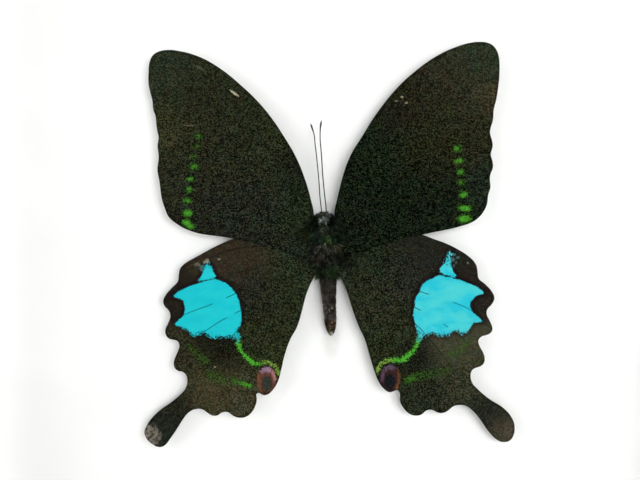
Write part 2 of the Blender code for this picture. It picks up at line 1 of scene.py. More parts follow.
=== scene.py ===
"""Framed butterfly specimen, dressed for display.

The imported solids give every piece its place. The rails, glass, boards and fixings keep their shapes and get
worked finishes. The insect is rebuilt finely in the place of its solids: wings with relief, veins and
markings, furred body, jointed antennae and legs. Outlines and markings are drawn on the mount board in
millimetres, x to the right and then up, both from the middle of the frame.
"""

import logging
import math
from collections.abc import Iterator
from contextlib import contextmanager
from dataclasses import dataclass, field
from enum import Enum

import bpy
import numpy as np
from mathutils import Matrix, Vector


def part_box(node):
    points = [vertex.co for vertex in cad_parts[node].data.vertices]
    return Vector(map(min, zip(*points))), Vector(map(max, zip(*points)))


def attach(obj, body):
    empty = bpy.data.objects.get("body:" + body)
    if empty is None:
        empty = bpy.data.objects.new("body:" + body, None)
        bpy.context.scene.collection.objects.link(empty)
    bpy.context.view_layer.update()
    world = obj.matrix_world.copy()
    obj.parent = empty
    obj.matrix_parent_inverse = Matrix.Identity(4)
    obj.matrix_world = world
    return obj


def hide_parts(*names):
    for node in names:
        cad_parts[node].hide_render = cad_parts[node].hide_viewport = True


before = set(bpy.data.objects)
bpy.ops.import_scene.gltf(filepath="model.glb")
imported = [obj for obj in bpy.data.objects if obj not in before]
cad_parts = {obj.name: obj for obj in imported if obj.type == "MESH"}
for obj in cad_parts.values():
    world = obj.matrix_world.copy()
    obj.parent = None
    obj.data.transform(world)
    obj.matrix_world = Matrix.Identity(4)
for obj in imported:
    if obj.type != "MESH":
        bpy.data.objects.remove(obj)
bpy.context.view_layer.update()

logging.basicConfig(level=logging.INFO, format="%(message)s")
LOG = logging.getLogger("specimen")

MM = 0.001
BOARD_LOW, BOARD_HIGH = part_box("mount_board")
BOARD_FRONT = BOARD_LOW.y
MIDDLE = (BOARD_LOW.z + BOARD_HIGH.z) / 2

# Light that falls on the insect, as a multiple of what shows a white card as plain white
LIGHT = 1.22

# Vertices closer than this, in metres, are one
SAME_PLACE = 1e-6

# Hairs in one square of this width in millimetres share one lightness
CLUMP = 0.42

Point = tuple[float, float]
Line = tuple[Point, ...]
# Numbers in rows, one row for each place, vertex or hair
Rows = np.ndarray
Piece = bpy.types.Object
Material = bpy.types.Material
# Linear values, and display values from 0 to 255 as they look under the studio's light
Colour = tuple[float, float, float]
Shown = tuple[int, int, int]


def linear(value: int) -> float:
    """The linear value of one display value from 0 to 255."""
    share = value / 255
    return share / 12.92 if share <= 0.04045 else ((share + 0.055) / 1.055) ** 2.4


def paint(red: int, green: int, blue: int) -> Colour:
    """The colour that looks like the display values from 0 to 255 under the studio's light."""
    return linear(red) / LIGHT, linear(green) / LIGHT, linear(blue) / LIGHT


# Outlines of the wings


LEFT_FOREWING_EDGE: Line = (
    # Root along the thorax, upwards
    (-3.8, -3.2), (-4.15, -1.5), (-4.2, 0.5), (-4, 2.5), (-3.5, 4), (-3.3, 5.4), (-3.1, 7),
    # Leading edge to the apex
    (-3.7, 10), (-5.15, 15), (-7.2, 20), (-10.1, 25), (-12.8, 29), (-15.7, 32.6), (-20, 36.8), (-25, 40.9),
    (-30, 43.7), (-35, 45.15), (-37.6, 45.4), (-39.9, 44.95), (-41.1, 44.1), (-41.9, 42.4),
    # Wavy outer margin down to the rear corner
    (-42.15, 40), (-42.1, 37.5), (-41.7, 35.5), (-41.25, 33.5), (-41.05, 31.5), (-40.5, 30), (-40.3, 28),
    (-40.1, 26.3), (-39.8, 25), (-40, 23), (-39.8, 20.4), (-40.1, 17.3), (-39.7, 15), (-39.4, 12.3),
    (-39.1, 10.5), (-38.3, 8), (-37.7, 6.5), (-36.9, 5.5), (-35.6, 4.5), (-34.1, 3.6), (-32.3, 2.85),
    # Rear edge back to the root, the last stretch over the hindwing
    (-30.1, 2.2), (-27.1, 1.75), (-24.7, 1.45), (-22, 1), (-19, 0.4), (-15, -0.7), (-10, -2.3), (-6, -3.3),
)

RIGHT_FOREWING_EDGE: Line = (
    (3.4, -3.2), (3.6, -1.5), (3.5, 0.5), (2.95, 2.5), (2.3, 4), (2, 5.4), (1.75, 7), (2.35, 10),
    (3.55, 15), (5.3, 20), (8.3, 25), (11.6, 30.2), (15.9, 35.6), (20, 39.5), (25, 43.1), (30, 45.45),
    (33.7, 46.45), (35.8, 46.55), (37.1, 46.35), (38.3, 45.75), (39.15, 44.65), (39.65, 43.3), (39.9, 41.5),
    (39.85, 38.5), (39.6, 36.05), (39.2, 33.2), (38.6, 30.9), (38.4, 28.4), (38.05, 27.1), (37.8, 25.6),
    (38.2, 24), (38.4, 22.6), (38, 20.6), (38.4, 19), (38.5, 17.6), (37.9, 15.9), (37.8, 14.8), (37.95, 13),
    (37.45, 11.2), (37.15, 9), (36.15, 7), (35.3, 6), (34, 5), (31.3, 4), (27.1, 3), (24.8, 2.55),
    (22.2, 2), (19, 1.4), (15, 0.3), (10, -1.4), (6, -2.6),
)

LEFT_HINDWING_EDGE: Line = (
    # Front edge from the root, under the forewing and out to the first lobe
    (-4.1, -1), (-6, 0.6), (-10, 1.6), (-15, 2), (-19, 1.7), (-22, 1), (-25, -0.15), (-28.55, -1.95),
    (-31.4, -3.55), (-33.45, -4.7), (-34.9, -6.1), (-35.3, -7.7), (-35.5, -9.1),
    # Three lobes down to the tail
    (-36.95, -10.75), (-38.4, -12.4), (-39.05, -14), (-38.75, -15.1), (-37.8, -16.1), (-37.35, -17.5),
    (-37.8, -19), (-38.6, -20.9), (-38.45, -22), (-37.8, -22.85), (-36.8, -23.15), (-35.8, -23.4),
    (-35.2, -24.5), (-35.5, -25.7), (-36.45, -27.95), (-36.6, -29), (-36.3, -30), (-35.5, -30.6),
    (-34.55, -30.8), (-33.6, -31.6), (-33.3, -33), (-33.8, -34.75), (-34.7, -35.9),
    # Outer side of the tail, round its end and back
    (-37.1, -38), (-40, -40.1), (-42.35, -42.45), (-43.4, -44.1), (-43.85, -45.5), (-43.3, -47),
    (-41.8, -48.4), (-40.4, -49), (-39.1, -48.7), (-37.4, -46.65), (-35.6, -44), (-34.35, -42.05),
    # Two small lobes and the broad rear lobe
    (-32.9, -40.4), (-31.3, -39.7), (-29.7, -39.75), (-28.35, -40.6), (-27.3, -41.15), (-26.1, -41.1),
    (-25, -40.4), (-23.6, -40.3), (-22.4, -41.1), (-20.9, -41.6), (-19.2, -41.3), (-17.85, -40.2),
    (-17, -38.6), (-16.7, -37.1), (-16.75, -35.9),
    # Eyespot lobe, then the inner edge up to the root
    (-16.2, -35.6), (-15.3, -36.05), (-14.3, -36.05), (-12.9, -34.9), (-11.7, -33), (-10.85, -30),
    (-9.95, -26.3), (-8.6, -22.6), (-7.15, -20), (-5.65, -15), (-5, -12.5), (-4.05, -10), (-3.05, -8),
    (-2.6, -7), (-2.9, -5.6), (-3.6, -4.2), (-4.1, -2.5),
)

RIGHT_HINDWING_EDGE: Line = (
    (3.6, -1), (6, 1.2), (10, 2.4), (15, 2.9), (19, 2.7), (22.2, 2), (25, 0.95), (28, -0.15), (30.7, -1.5),
    (33.25, -3.2), (34.85, -5.1), (35.2, -6.8), (35.45, -8.2), (37.05, -9.65), (38.5, -11.3), (39.1, -12.8),
    (38.4, -14.5), (37.65, -15.3), (37.35, -16.5), (38.1, -18.25), (38.7, -20.1), (38.3, -21),
    (37.4, -21.5), (36.3, -21.85), (35.5, -22.8), (35.6, -23.7), (36.7, -25.95), (36.95, -27.1),
    (36.75, -28.15), (36.05, -28.85), (35.1, -29.2), (34.1, -29.8), (33.7, -31.1), (34.1, -32.8),
    (35.1, -34), (38.25, -36.7), (41.4, -38.7), (43.5, -41.2), (44.1, -43.4), (43.8, -45.2), (42.9, -46.4),
    (41.45, -46.75), (40.2, -46.4), (37.9, -44.2), (35.85, -41.25), (33.85, -39.05), (32.65, -38.3),
    (31.2, -38.05), (29.7, -38.4), (28.25, -39.5), (27, -39.95), (25.9, -39.8), (24.9, -39.3),
    (23.6, -39.3), (22.1, -40.4), (20.9, -40.6), (19.5, -40.25), (17.9, -38.7), (17.2, -37.2),
    (17.1, -35.3), (16.5, -34.6), (15.6, -34.9), (14.7, -35.1), (13.4, -34.3), (12.1, -32.5), (11, -29.65),
    (9.95, -26.15), (8.8, -22.4), (7.65, -20), (5.8, -15), (5.05, -12.5), (4.15, -10), (3.1, -8), (2.6, -7),
    (2.75, -5.6), (3.3, -4.2), (3.6, -2.5),
)


# Curves and distances on the board


def along_knots(knots: Rows, steps: int, closed: bool) -> Rows:
    """Points of a smooth curve through knots.

    Args:
        knots: One row for each knot, with any number of columns.
        steps: Points for each stretch between two knots.
        closed: Whether the last knot joins the first.

    Returns:
        The points, one row each.
    """
    count = len(knots)
    if closed:
        before, after, last = np.roll(knots, 1, 0), np.roll(knots, -1, 0), np.roll(knots, -2, 0)
        here = knots
    else:
        padded = np.vstack([2 * knots[0] - knots[1], knots, 2 * knots[-1] - knots[-2]])
        before, here, after, last = padded[:count - 1], padded[1:count], padded[2:count + 1], padded[3:]
    points = []
    for share in np.arange(steps) / steps:
        points.append(
            0.5
            * (
                2 * here
                + (after - before) * share
                + (2 * before - 5 * here + 4 * after - last) * share**2
                + (3 * here - before - 3 * after + last) * share**3
            )
        )
    curve = np.stack(points, 1).reshape(-1, knots.shape[1])
    return curve if closed else np.vstack([curve, knots[-1]])


def smooth_loop(knots: Line, steps: int) -> Rows:
    """A closed smooth curve through knots."""
    return along_knots(np.array(knots, float), steps, closed=True)


def smooth_line(knots: Line, steps: int) -> Rows:
    """An open smooth curve through knots."""
    return along_knots(np.array(knots, float), steps, closed=False)


def reach_to_line(
    places: Rows, line: Rows, closed: bool = False
) -> tuple[Rows, Rows]:
    """Distance from places to a line of points.

    Args:
        places: x and up of each place.
        line: One row for each point of the line.
        closed: Whether the last point joins the first.

    Returns:
        The shortest distance of each place, and how far along the line it lies, from 0 to 1.
    """
    starts = line if closed else line[:-1]
    ends = np.roll(line, -1, 0) if closed else line[1:]
    best = np.full(len(places), np.inf)
    spot = np.zeros(len(places))
    for number, (start, end) in enumerate(zip(starts, ends)):
        run = end - start
        share = np.clip((places - start) @ run / max(float(run @ run), 1e-12), 0, 1)
        gap = np.linalg.norm(places - start - share[:, None] * run, axis=1)
        nearer = gap < best
        best = np.where(nearer, gap, best)
        spot = np.where(nearer, (number + share) / len(starts), spot)
    return best, spot


def within(places: Rows, loop: Rows) -> Rows:
    """Whether each place lies inside a closed loop.

    Args:
        places: x and up of each place.
        loop: One row for each point of the loop.

    Returns:
        True or false for each place.
    """
    inside = np.zeros(len(places), bool)
    for (x_a, up_a), (x_b, up_b) in zip(loop, np.roll(loop, -1, 0)):
        crosses = (up_a > places[:, 1]) != (up_b > places[:, 1])
        x_cross = x_a + (places[:, 1] - up_a) * (x_b - x_a) / (up_b - up_a if up_b != up_a else 1e-12)
        inside ^= crosses & (places[:, 0] < x_cross)
    return inside


def depth_inside(places: Rows, loop: Rows) -> Rows:
    """Distance to a closed loop's edge, positive inside and negative outside."""
    gap, _ = reach_to_line(places, loop, closed=True)
    return np.where(within(places, loop), gap, -gap)


def gap_to(places: Rows, centre: Point) -> Rows:
    """Distance of each place from a centre."""
    return np.linalg.norm(places - np.array(centre), axis=1)


def fall_off(gap: Rows, width: float) -> Rows:
    """A bell curve that is 1 at no gap and has fallen to about a third at its width."""
    return np.exp(-((gap / width) ** 2))


def on_board(x: float, up: float, height: float) -> Vector:
    """A place over the mount board, in metres, from millimetres."""
    return Vector((x * MM, BOARD_FRONT - height * MM, MIDDLE + up * MM))


def board_rows(x: Rows, up: Rows, height: Rows) -> Rows:
    """Places over the mount board as rows of x, y and z in metres, from millimetres."""
    return np.column_stack([x * MM, BOARD_FRONT - height * MM, MIDDLE + up * MM])


# Modelling helpers


def deselect() -> None:
    """Leaves nothing selected."""
    bpy.ops.object.select_all(action="DESELECT")


def select_only(obj: Piece) -> None:
    """Selects one object and makes it the active one.

    Args:
        obj: The object.
    """
    deselect()
    obj.select_set(True)
    bpy.context.view_layer.objects.active = obj


def new_object(name: str, data: bpy.types.ID) -> Piece:
    """A new object of the scene.

    Args:
        name: Its name.
        data: Its mesh, curve, light or camera.

    Returns:
        The object.
    """
    obj = bpy.data.objects.new(name, data)
    bpy.context.scene.collection.objects.link(obj)
    return obj


def link_mesh(name: str, vertices: Rows, edges: list, faces: list) -> Piece:
    """A new mesh object.

    Args:
        name: Its name.
        vertices: Rows of x, y and z in metres.
        edges: Pairs of vertex numbers.
        faces: Loops of vertex numbers.

    Returns:
        The object.
    """
    mesh = bpy.data.meshes.new(name)
    mesh.from_pydata([tuple(map(float, vertex)) for vertex in vertices], edges, faces)
    mesh.validate()
    return new_object(name, mesh)


def as_mesh(curve: Piece) -> Piece:
    """Makes a curve a mesh.

    Args:
        curve: The curve's object.

    Returns:
        The mesh's object.
    """
    select_only(curve)
    bpy.ops.object.convert(target="MESH")
    return bpy.context.view_layer.objects.active


@contextmanager
def editing(obj: Piece) -> Iterator[None]:
    """Edit mode on one object, with its whole mesh selected at the start.

    Args:
        obj: The object.

    Yields:
        Nothing.
    """
    select_only(obj)
    bpy.ops.object.mode_set(mode="EDIT")
    bpy.ops.mesh.select_all(action="SELECT")
    yield
    bpy.ops.object.mode_set(mode="OBJECT")


def apply_modifier(obj: Piece, modifier: bpy.types.Modifier) -> None:
    """Applies one modifier of an object."""
    select_only(obj)
    bpy.ops.object.modifier_apply(modifier=modifier.name)


def round_edges(obj: Piece, width: float, segments: int) -> None:
    """Rounds an object's sharp edges with a bevel that is then applied.

    Args:
        obj: The object.
        width: The bevel's width in millimetres.
        segments: The number of faces across it.
    """
    bevel = obj.modifiers.new("rounded edges", "BEVEL")
    bevel.width = width * MM
    bevel.segments = segments
    bevel.limit_method = "ANGLE"
    bevel.angle_limit = math.radians(30.0)
    apply_modifier(obj, bevel)


def smooth_by_angle(obj: Piece, degrees: float) -> None:
    """Shades an object smooth, apart from its sharp edges."""
    select_only(obj)
    bpy.ops.object.shade_smooth_by_angle(angle=math.radians(degrees))


def settle(obj: Piece) -> None:
    """Applies an object's place, so that its origin is at the world's."""
    select_only(obj)
    bpy.ops.object.transform_apply(location=True, rotation=True, scale=True)


def face_outwards(obj: Piece) -> None:
    """Merges doubled vertices and turns all faces outwards.

    Args:
        obj: The object.
    """
    with editing(obj):
        bpy.ops.mesh.remove_doubles(threshold=SAME_PLACE)
        bpy.ops.mesh.normals_make_consistent(inside=False)


def finish_piece(obj: Piece, material: Material, slot: str, *nodes: str) -> None:
    """Gives a finished piece its material, attaches it to the root, hides the solids that it stands for, and
    reports it.

    Args:
        obj: The piece.
        material: Its material.
        slot: The piece's slot name; not used.
        nodes: The solids that it replaces, if any.
    """
    obj.data.materials.clear()
    obj.data.materials.append(material)
    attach(obj, "root")
    if nodes:
        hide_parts(*nodes)
    LOG.info("%s: %d vertices", obj.name, len(obj.data.vertices))


def fine_copy(node: str, name: str, bevel: float, segments: int = 2) -> Piece:
    """A copy of a solid with merged vertices and rounded edges.

    Args:
        node: The solid's name.
        name: The copy's name.
        bevel: The width of the rounded edges in millimetres.
        segments: The number of faces across them.

    Returns:
        The copy.
    """
    obj = new_object(name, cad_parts[node].data.copy())
    obj.data.materials.clear()
    with editing(obj):
        bpy.ops.mesh.remove_doubles(threshold=SAME_PLACE)
        bpy.ops.mesh.dissolve_limited(angle_limit=math.radians(0.5))
        bpy.ops.mesh.customdata_custom_splitnormals_clear()
    round_edges(obj, bevel, segments)
    smooth_by_angle(obj, 35)
    return obj


def store(obj: Piece, name: str, values: Rows) -> None:
    """Stores values or colours on an object's vertices, where its material reads them.

    Args:
        obj: The object.
        name: The name that the material reads.
        values: One number or one colour for each vertex.
    """
    if values.ndim == 2:
        layer = obj.data.attributes.new(name, "FLOAT_COLOR", "POINT")
        layer.data.foreach_set("color", np.column_stack([values, np.ones(len(values))]).ravel())
    else:
        obj.data.attributes.new(name, "FLOAT", "POINT").data.foreach_set("value", values.ravel())


def tubes(name: str, routes: list[Rows], sides: int = 2) -> Piece:
    """Round tubes along routes, as one mesh.

    Args:
        name: The object's name.
        routes: For each tube, rows of x, y and z in metres and the radius in metres.
        sides: Blender's bevel resolution, 1 for six sides, 2 for eight.

    Returns:
        The mesh object.
    """
    curve = bpy.data.curves.new(name, "CURVE")
    curve.dimensions = "3D"
    curve.bevel_depth = 1.0
    curve.bevel_resolution = sides
    curve.use_fill_caps = True
    for route in routes:
        spline = curve.splines.new("POLY")
        spline.points.add(len(route) - 1)
        for knot, (x, y, z, radius) in zip(spline.points, route):
            knot.co = (x, y, z, 1.0)
            knot.radius = radius
    obj = as_mesh(new_object(name, curve))
    face_outwards(obj)
    smooth_by_angle(obj, 60)
    return obj


# Shader helpers


Socket = bpy.types.NodeSocket
Value = float | Colour | Vector | Socket


class ShaderTree:
    """A material's nodes, added by what they do. A value is a plain number or colour, or a socket."""

    def __init__(self, name: str) -> None:
        """Starts a material with one Principled shader.

        Args:
            name: The material's name.
        """
        self.material = bpy.data.materials.new(name)
        self.material.use_nodes = True
        self.nodes = self.material.node_tree.nodes
        self.links = self.material.node_tree.links
        self.nodes.clear()
        self.shader = self.nodes.new("ShaderNodeBsdfPrincipled")
        self.output = self.nodes.new("ShaderNodeOutputMaterial")
        self.links.new(self.shader.outputs[0], self.output.inputs[0])

    def feed(self, socket: Socket, value: Value) -> None:
        """Links a socket, or sets its own value.

        Args:
            socket: The input.
            value: A number, a colour or another node's output.
        """
        if isinstance(value, bpy.types.NodeSocket):
            self.links.new(value, socket)
        elif socket.type == "RGBA" and len(value) == 3:
            socket.default_value = (*value, 1.0)
        else:
            socket.default_value = value

    def fill(self, node: bpy.types.Node, values: dict[str | int, Value]) -> bpy.types.bpy_prop_collection:
        """Feeds a node's inputs.

        Args:
            node: The node.
            values: What each input gets, by its name or number.

        Returns:
            The node's outputs.
        """
        for key, value in values.items():
            self.feed(node.inputs[key], value)
        return node.outputs

    def set(self, **values: Value) -> None:
        """Sets the shader's sockets by name, with an underscore for each space."""
        self.fill(self.shader, {name.replace("_", " "): value for name, value in values.items()})

    def place(self, stretch: Colour = (1, 1, 1), turn: Colour = (0, 0, 0)) -> Socket:
        """Object coordinates, scaled and turned.

        Args:
            stretch: The factor along each axis.
            turn: The angle about each axis in radians.

        Returns:
            The place.
        """
        where = self.nodes.new("ShaderNodeTexCoord").outputs["Object"]
        mapping = self.nodes.new("ShaderNodeMapping")
        return self.fill(mapping, {"Vector": where, "Scale": stretch, "Rotation": turn})[0]

    def noise(
        self,
        size: float,
        where: Socket | None = None,
        detail: float = 3.0,
        rough: float = 0.55,
        warp: float = 0.0,
    ) -> Socket:
        """Cloudy noise.

        Args:
            size: Its features' size in millimetres.
            where: The place, or none for the object's own.
            detail: The number of finer layers.
            rough: The strength of the finer layers.
            warp: How far the features are bent.

        Returns:
            A value from 0 to 1.
        """
        inputs = {"Vector": where or self.place(), "Scale": 1 / (size * MM)}
        finer = {"Detail": detail, "Roughness": rough, "Distortion": warp}
        return self.fill(self.nodes.new("ShaderNodeTexNoise"), inputs | finer)[0]

    def cells(self, size: float) -> tuple[Socket, Socket, Socket, Socket]:
        """Random cells.

        Args:
            size: Their size in millimetres.

        Returns:
            The distance from the middle, and three random values.
        """
        inputs = {"Vector": self.place(), "Scale": 1 / (size * MM)}
        cell = self.fill(self.nodes.new("ShaderNodeTexVoronoi"), inputs)
        chance = self.fill(self.nodes.new("ShaderNodeSeparateColor"), {0: cell["Color"]})
        return cell["Distance"], chance[0], chance[1], chance[2]

    def attribute(self, name: str, colour: bool = False) -> Socket:
        """A value or colour stored on the piece's vertices.

        Args:
            name: Its name.
            colour: Whether it is a colour.

        Returns:
            The value or colour.
        """
        node = self.nodes.new("ShaderNodeAttribute")
        node.attribute_name = name
        return node.outputs["Color" if colour else "Fac"]

    def math(self, operation: str, *values: Value) -> Socket:
        """A sum of values.

        Args:
            operation: What is done with them.
            values: The values.

        Returns:
            The result.
        """
        node = self.nodes.new("ShaderNodeMath")
        node.operation = operation
        return self.fill(node, dict(enumerate(values)))[0]

    def times(self, first: Value, second: Value) -> Socket:
        """Two values multiplied."""
        return self.math("MULTIPLY", first, second)

    def times_plus(self, value: Value, factor: Value, extra: Value) -> Socket:
        """A value times a factor, plus an extra value."""
        return self.math("MULTIPLY_ADD", value, factor, extra)

    def spread(
        self, value: Value, low: float, high: float, start: float = 0.0, end: float = 1.0
    ) -> Socket:
        """A value carried smoothly from one range to another and held at its ends.

        Args:
            value: The value.
            low: Where its range starts.
            high: Where its range ends.
            start: What it becomes at the range's start.
            end: What it becomes at the range's end.

        Returns:
            The new value.
        """
        node = self.nodes.new("ShaderNodeMapRange")
        node.interpolation_type = "SMOOTHSTEP"
        return self.fill(node, dict(enumerate((value, low, high, start, end))))[0]

    def mix(self, share: Value, first: Value, second: Value, blend: str = "MIX") -> Socket:
        """A mix of two colours.

        Args:
            share: The second colour's share.
            first: The first colour.
            second: The second colour.
            blend: How they mix.

        Returns:
            The colour.
        """
        node = self.nodes.new("ShaderNodeMix")
        node.data_type = "RGBA"
        node.blend_type = blend
        return self.fill(node, {0: share, 6: first, 7: second})[2]

    def multiplied(self, first: Value, second: Value) -> Socket:
        """Two colours multiplied."""
        return self.mix(1.0, first, second, "MULTIPLY")

    def ramp(self, value: Socket, *stops: tuple[float, Colour]) -> Socket:
        """A colour ramp.

        Args:
            value: Picks the colour.
            stops: Values and their colours, rising.

        Returns:
            The colour.
        """
        node = self.nodes.new("ShaderNodeValToRGB")
        elements = node.color_ramp.elements
        while len(elements) < len(stops):
            elements.new(0.5)
        for element, (place, colour) in zip(elements, stops):
            element.position = place
            element.color = (*colour, 1.0)
        return self.fill(node, {0: value})[0]

    def tinted(self, colour: Value, factor: Value) -> Socket:
        """A colour times a value.

        Args:
            colour: The colour.
            factor: The value.

        Returns:
            The lighter or darker colour.
        """
        node = self.nodes.new("ShaderNodeVectorMath")
        node.operation = "SCALE"
        return self.fill(node, {0: colour, "Scale": factor})[0]

    def bump(self, height: Socket, depth: float, strength: float) -> Socket:
        """A normal bent by a height of a depth in millimetres."""
        inputs = {"Strength": strength, "Distance": depth * MM, "Height": height}
        return self.fill(self.nodes.new("ShaderNodeBump"), inputs)[0]

    def ellipse(self, centre: Point, radii: Point, degrees: float = 0.0) -> Socket:
        """How far a place on the board lies from the middle of an ellipse.

        Args:
            centre: The middle, in millimetres.
            radii: The half widths, in millimetres.
            degrees: How far it is turned.

        Returns:
            The distance, 1 on the ellipse's edge.
        """
        mapping = self.nodes.new("ShaderNodeMapping")
        mapping.vector_type = "TEXTURE"
        inputs = {
            "Vector": self.nodes.new("ShaderNodeTexCoord").outputs["Object"],
            "Location": on_board(*centre, 0.0),
            "Rotation": (0.0, -math.radians(degrees), 0.0),
            "Scale": (radii[0] * MM, 10.0, radii[1] * MM),
        }
        length = self.nodes.new("ShaderNodeVectorMath")
        length.operation = "LENGTH"
        return self.fill(length, {0: self.fill(mapping, inputs)[0]})["Value"]


# Finishes


class Finish:
    """A finish: each kind lays its own nodes on a new material of its name."""

    name: str

    def build(self) -> Material:
        """Builds the finish.

        Returns:
            The material.
        """
        tree = ShaderTree(self.name)
        self.lay_on(tree)
        return tree.material


class Grain(Enum):
    """Which way a rail's grain runs: the stretch of its pattern along each axis."""

    ALONG_X = (0.06, 1.0, 1.0)
    ALONG_Z = (1.0, 1.0, 0.06)


@dataclass(frozen=True)
class StainedWood(Finish):
    """Dark stained, waxed wood with open pores. Sizes are in millimetres."""

    grain: Grain
    dark: Colour = (0.012, 0.0065, 0.0045)
    middle: Colour = (0.034, 0.0175, 0.0105)
    light: Colour = (0.075, 0.039, 0.021)
    pore_shade: Colour = (0.4, 0.4, 0.4)
    ring_size: float = 7.0
    fibre_size: float = 0.9
    pore_size: float = 0.35
    scuff_size: float = 14.0

    @property
    def name(self) -> str:
        """The material's name, which says which way the grain runs."""
        return f"stained_wood_{self.grain.name.lower()}"

    def lay_on(self, tree: ShaderTree) -> None:
        """Lays the finish on.

        Args:
            tree: Its nodes.
        """
        where = tree.place(self.grain.value)
        rings = tree.noise(self.ring_size, where, detail=2.0, warp=1.2)
        fibres = tree.noise(self.fibre_size, where, detail=5.0, rough=0.7)
        figure = tree.times_plus(fibres, 0.4, tree.times(rings, 0.75))
        colour = tree.ramp(figure, (0.3, self.dark), (0.55, self.middle), (0.8, self.light))
        pores = tree.spread(tree.noise(self.pore_size, where, detail=2.0), 0.3, 0.42, 0.25, 1.0)
        scuffs = tree.spread(tree.noise(self.scuff_size, detail=6.0, rough=0.7), 0.45, 0.75, 0.34, 0.56)
        tree.set(
            Base_Color=tree.multiplied(colour, tree.ramp(pores, (0.0, self.pore_shade), (1.0, (1, 1, 1)))),
            Roughness=scuffs,
            Coat_Weight=0.25,
            Coat_Roughness=0.3,
            Normal=tree.bump(tree.times_plus(pores, 0.6, fibres), 0.05, 0.7),
        )


@dataclass(frozen=True)
class ClearGlass(Finish):
    """Thin coated picture glass: it mirrors almost nothing seen straight on, and more and more aslant."""

    name: str = "clear_glass"
    tint: Colour = (0.992, 0.994, 0.993)
    straight: float = 0.0005
    aslant: float = 0.85
    power: float = 3.0

    def lay_on(self, tree: ShaderTree) -> None:
        """Lays the finish on.

        Args:
            tree: Its nodes.
        """
        tree.set(Base_Color=(1.0, 1.0, 1.0), Roughness=0.02, Metallic=1.0)
        clear = tree.fill(tree.nodes.new("ShaderNodeBsdfTransparent"), {0: self.tint})[0]
        facing = tree.nodes.new("ShaderNodeLayerWeight").outputs["Facing"]
        mirrored = tree.times_plus(tree.math("POWER", facing, self.power), self.aslant, self.straight)
        parts = {0: mirrored, 1: clear, 2: tree.shader.outputs[0]}
        both = tree.fill(tree.nodes.new("ShaderNodeMixShader"), parts)[0]
        tree.links.new(both, tree.output.inputs[0])


@dataclass(frozen=True)
class WhiteCard(Finish):
    """White card with a fine felt texture. Where stained, the card is darker and greyer under and beside the
    abdomen: partly a grease mark, partly painted shadow of the abdomen.
    """

    name: str = "white_card"
    colour: Colour = (0.9, 0.9, 0.89)
    # Colour of the grease mark and of the painted shadow beside the abdomen
    stain_and_shadow: Colour = (0.62, 0.61, 0.59)
    stained: bool = False
    dimness: float = 0.965
    cloud_size: float = 30.0
    felt_size: float = 0.5

    def lay_on(self, tree: ShaderTree) -> None:
        """Lays the finish on.

        Args:
            tree: Its nodes.
        """
        cloud = tree.noise(self.cloud_size)
        fibres = tree.noise(self.felt_size, detail=4.0, rough=0.65)
        dim = tuple(channel * self.dimness for channel in self.colour)
        colour = tree.mix(tree.spread(cloud, 0.35, 0.65), dim, self.colour)
        if self.stained:
            # Painted shadow of the abdomen on the card, together with a grease mark: soft grey darkening
            # below its tip and along its sides
            below = tree.spread(tree.ellipse((0.8, -22.5), (3.4, 9.0), 2.0), 0.0, 1.0, 1.0, 0.0)
            beside = tree.spread(tree.ellipse((-1.4, -13.0), (4.6, 13.0), 3.0), 0.3, 1.0, 0.55, 0.0)
            cloudy = tree.spread(tree.noise(3.0), 0.3, 0.7, 0.6, 1.0)
            patchy = tree.times(tree.math("MAXIMUM", below, beside), cloudy)
            colour = tree.mix(patchy, colour, self.stain_and_shadow)
        tree.set(
            Base_Color=colour,
            Roughness=tree.spread(fibres, 0.3, 0.7, 0.78, 0.92),
            Specular_IOR_Level=0.25,
            Normal=tree.bump(fibres, 0.03, 0.35),
        )


@dataclass(frozen=True)
class Hardboard(Finish):
    """Brown pressed fibre board with its screened rear face. Sizes are in millimetres."""

    name: str = "hardboard"
    dark: Colour = (0.12, 0.06, 0.028)
    middle: Colour = (0.22, 0.122, 0.06)
    light: Colour = (0.34, 0.205, 0.11)
    fleck: Colour = (0.06, 0.03, 0.016)
    fibre_size: float = 0.8
    cloud_size: float = 18.0
    fleck_size: float = 1.6
    screen_size: float = 0.9

    def lay_on(self, tree: ShaderTree) -> None:
        """Lays the finish on.

        Args:
            tree: Its nodes.
        """
        fibres = tree.noise(self.fibre_size, detail=6.0, rough=0.75)
        cloud = tree.noise(self.cloud_size, detail=4.0)
        flecks = tree.spread(tree.noise(self.fleck_size, tree.place((1, 1, 3)), detail=2.0), 0.62, 0.7)
        tone = tree.times_plus(fibres, 0.8, tree.times(cloud, 0.2))
        colour = tree.ramp(tone, (0.3, self.dark), (0.5, self.middle), (0.72, self.light))
        colour = tree.mix(tree.times(flecks, 0.5), colour, self.fleck)
        checks = {"Vector": tree.place(), "Scale": 1 / (self.screen_size * MM)}
        screen = tree.fill(tree.nodes.new("ShaderNodeTexChecker"), checks)["Fac"]
        pattern = tree.times_plus(screen, 0.35, fibres)
        tree.set(Base_Color=colour, Roughness=0.82, Normal=tree.bump(pattern, 0.12, 0.5))


@dataclass(frozen=True)
class ZincSteel(Finish):
    """Thin zinc-plated steel with spangle and fine scratches."""

    name: str = "zinc_steel"
    colour: Colour = (0.56, 0.57, 0.58)
    dullness: float = 0.7
    spangle_size: float = 1.8
    scratch_size: float = 0.5

    def lay_on(self, tree: ShaderTree) -> None:
        """Lays the finish on.

        Args:
            tree: Its nodes.
        """
        _, spangle, _, _ = tree.cells(self.spangle_size)
        scratches = tree.noise(self.scratch_size, tree.place((0.05, 1.0, 1.0)), detail=4.0)
        dull = tuple(channel * self.dullness for channel in self.colour)
        tree.set(
            Base_Color=tree.mix(tree.spread(spangle, 0.1, 0.9), dull, self.colour),
            Metallic=1.0,
            Roughness=tree.spread(tree.times_plus(spangle, 0.5, scratches), 0.3, 1.1, 0.24, 0.5),
            Normal=tree.bump(scratches, 0.01, 0.5),
        )


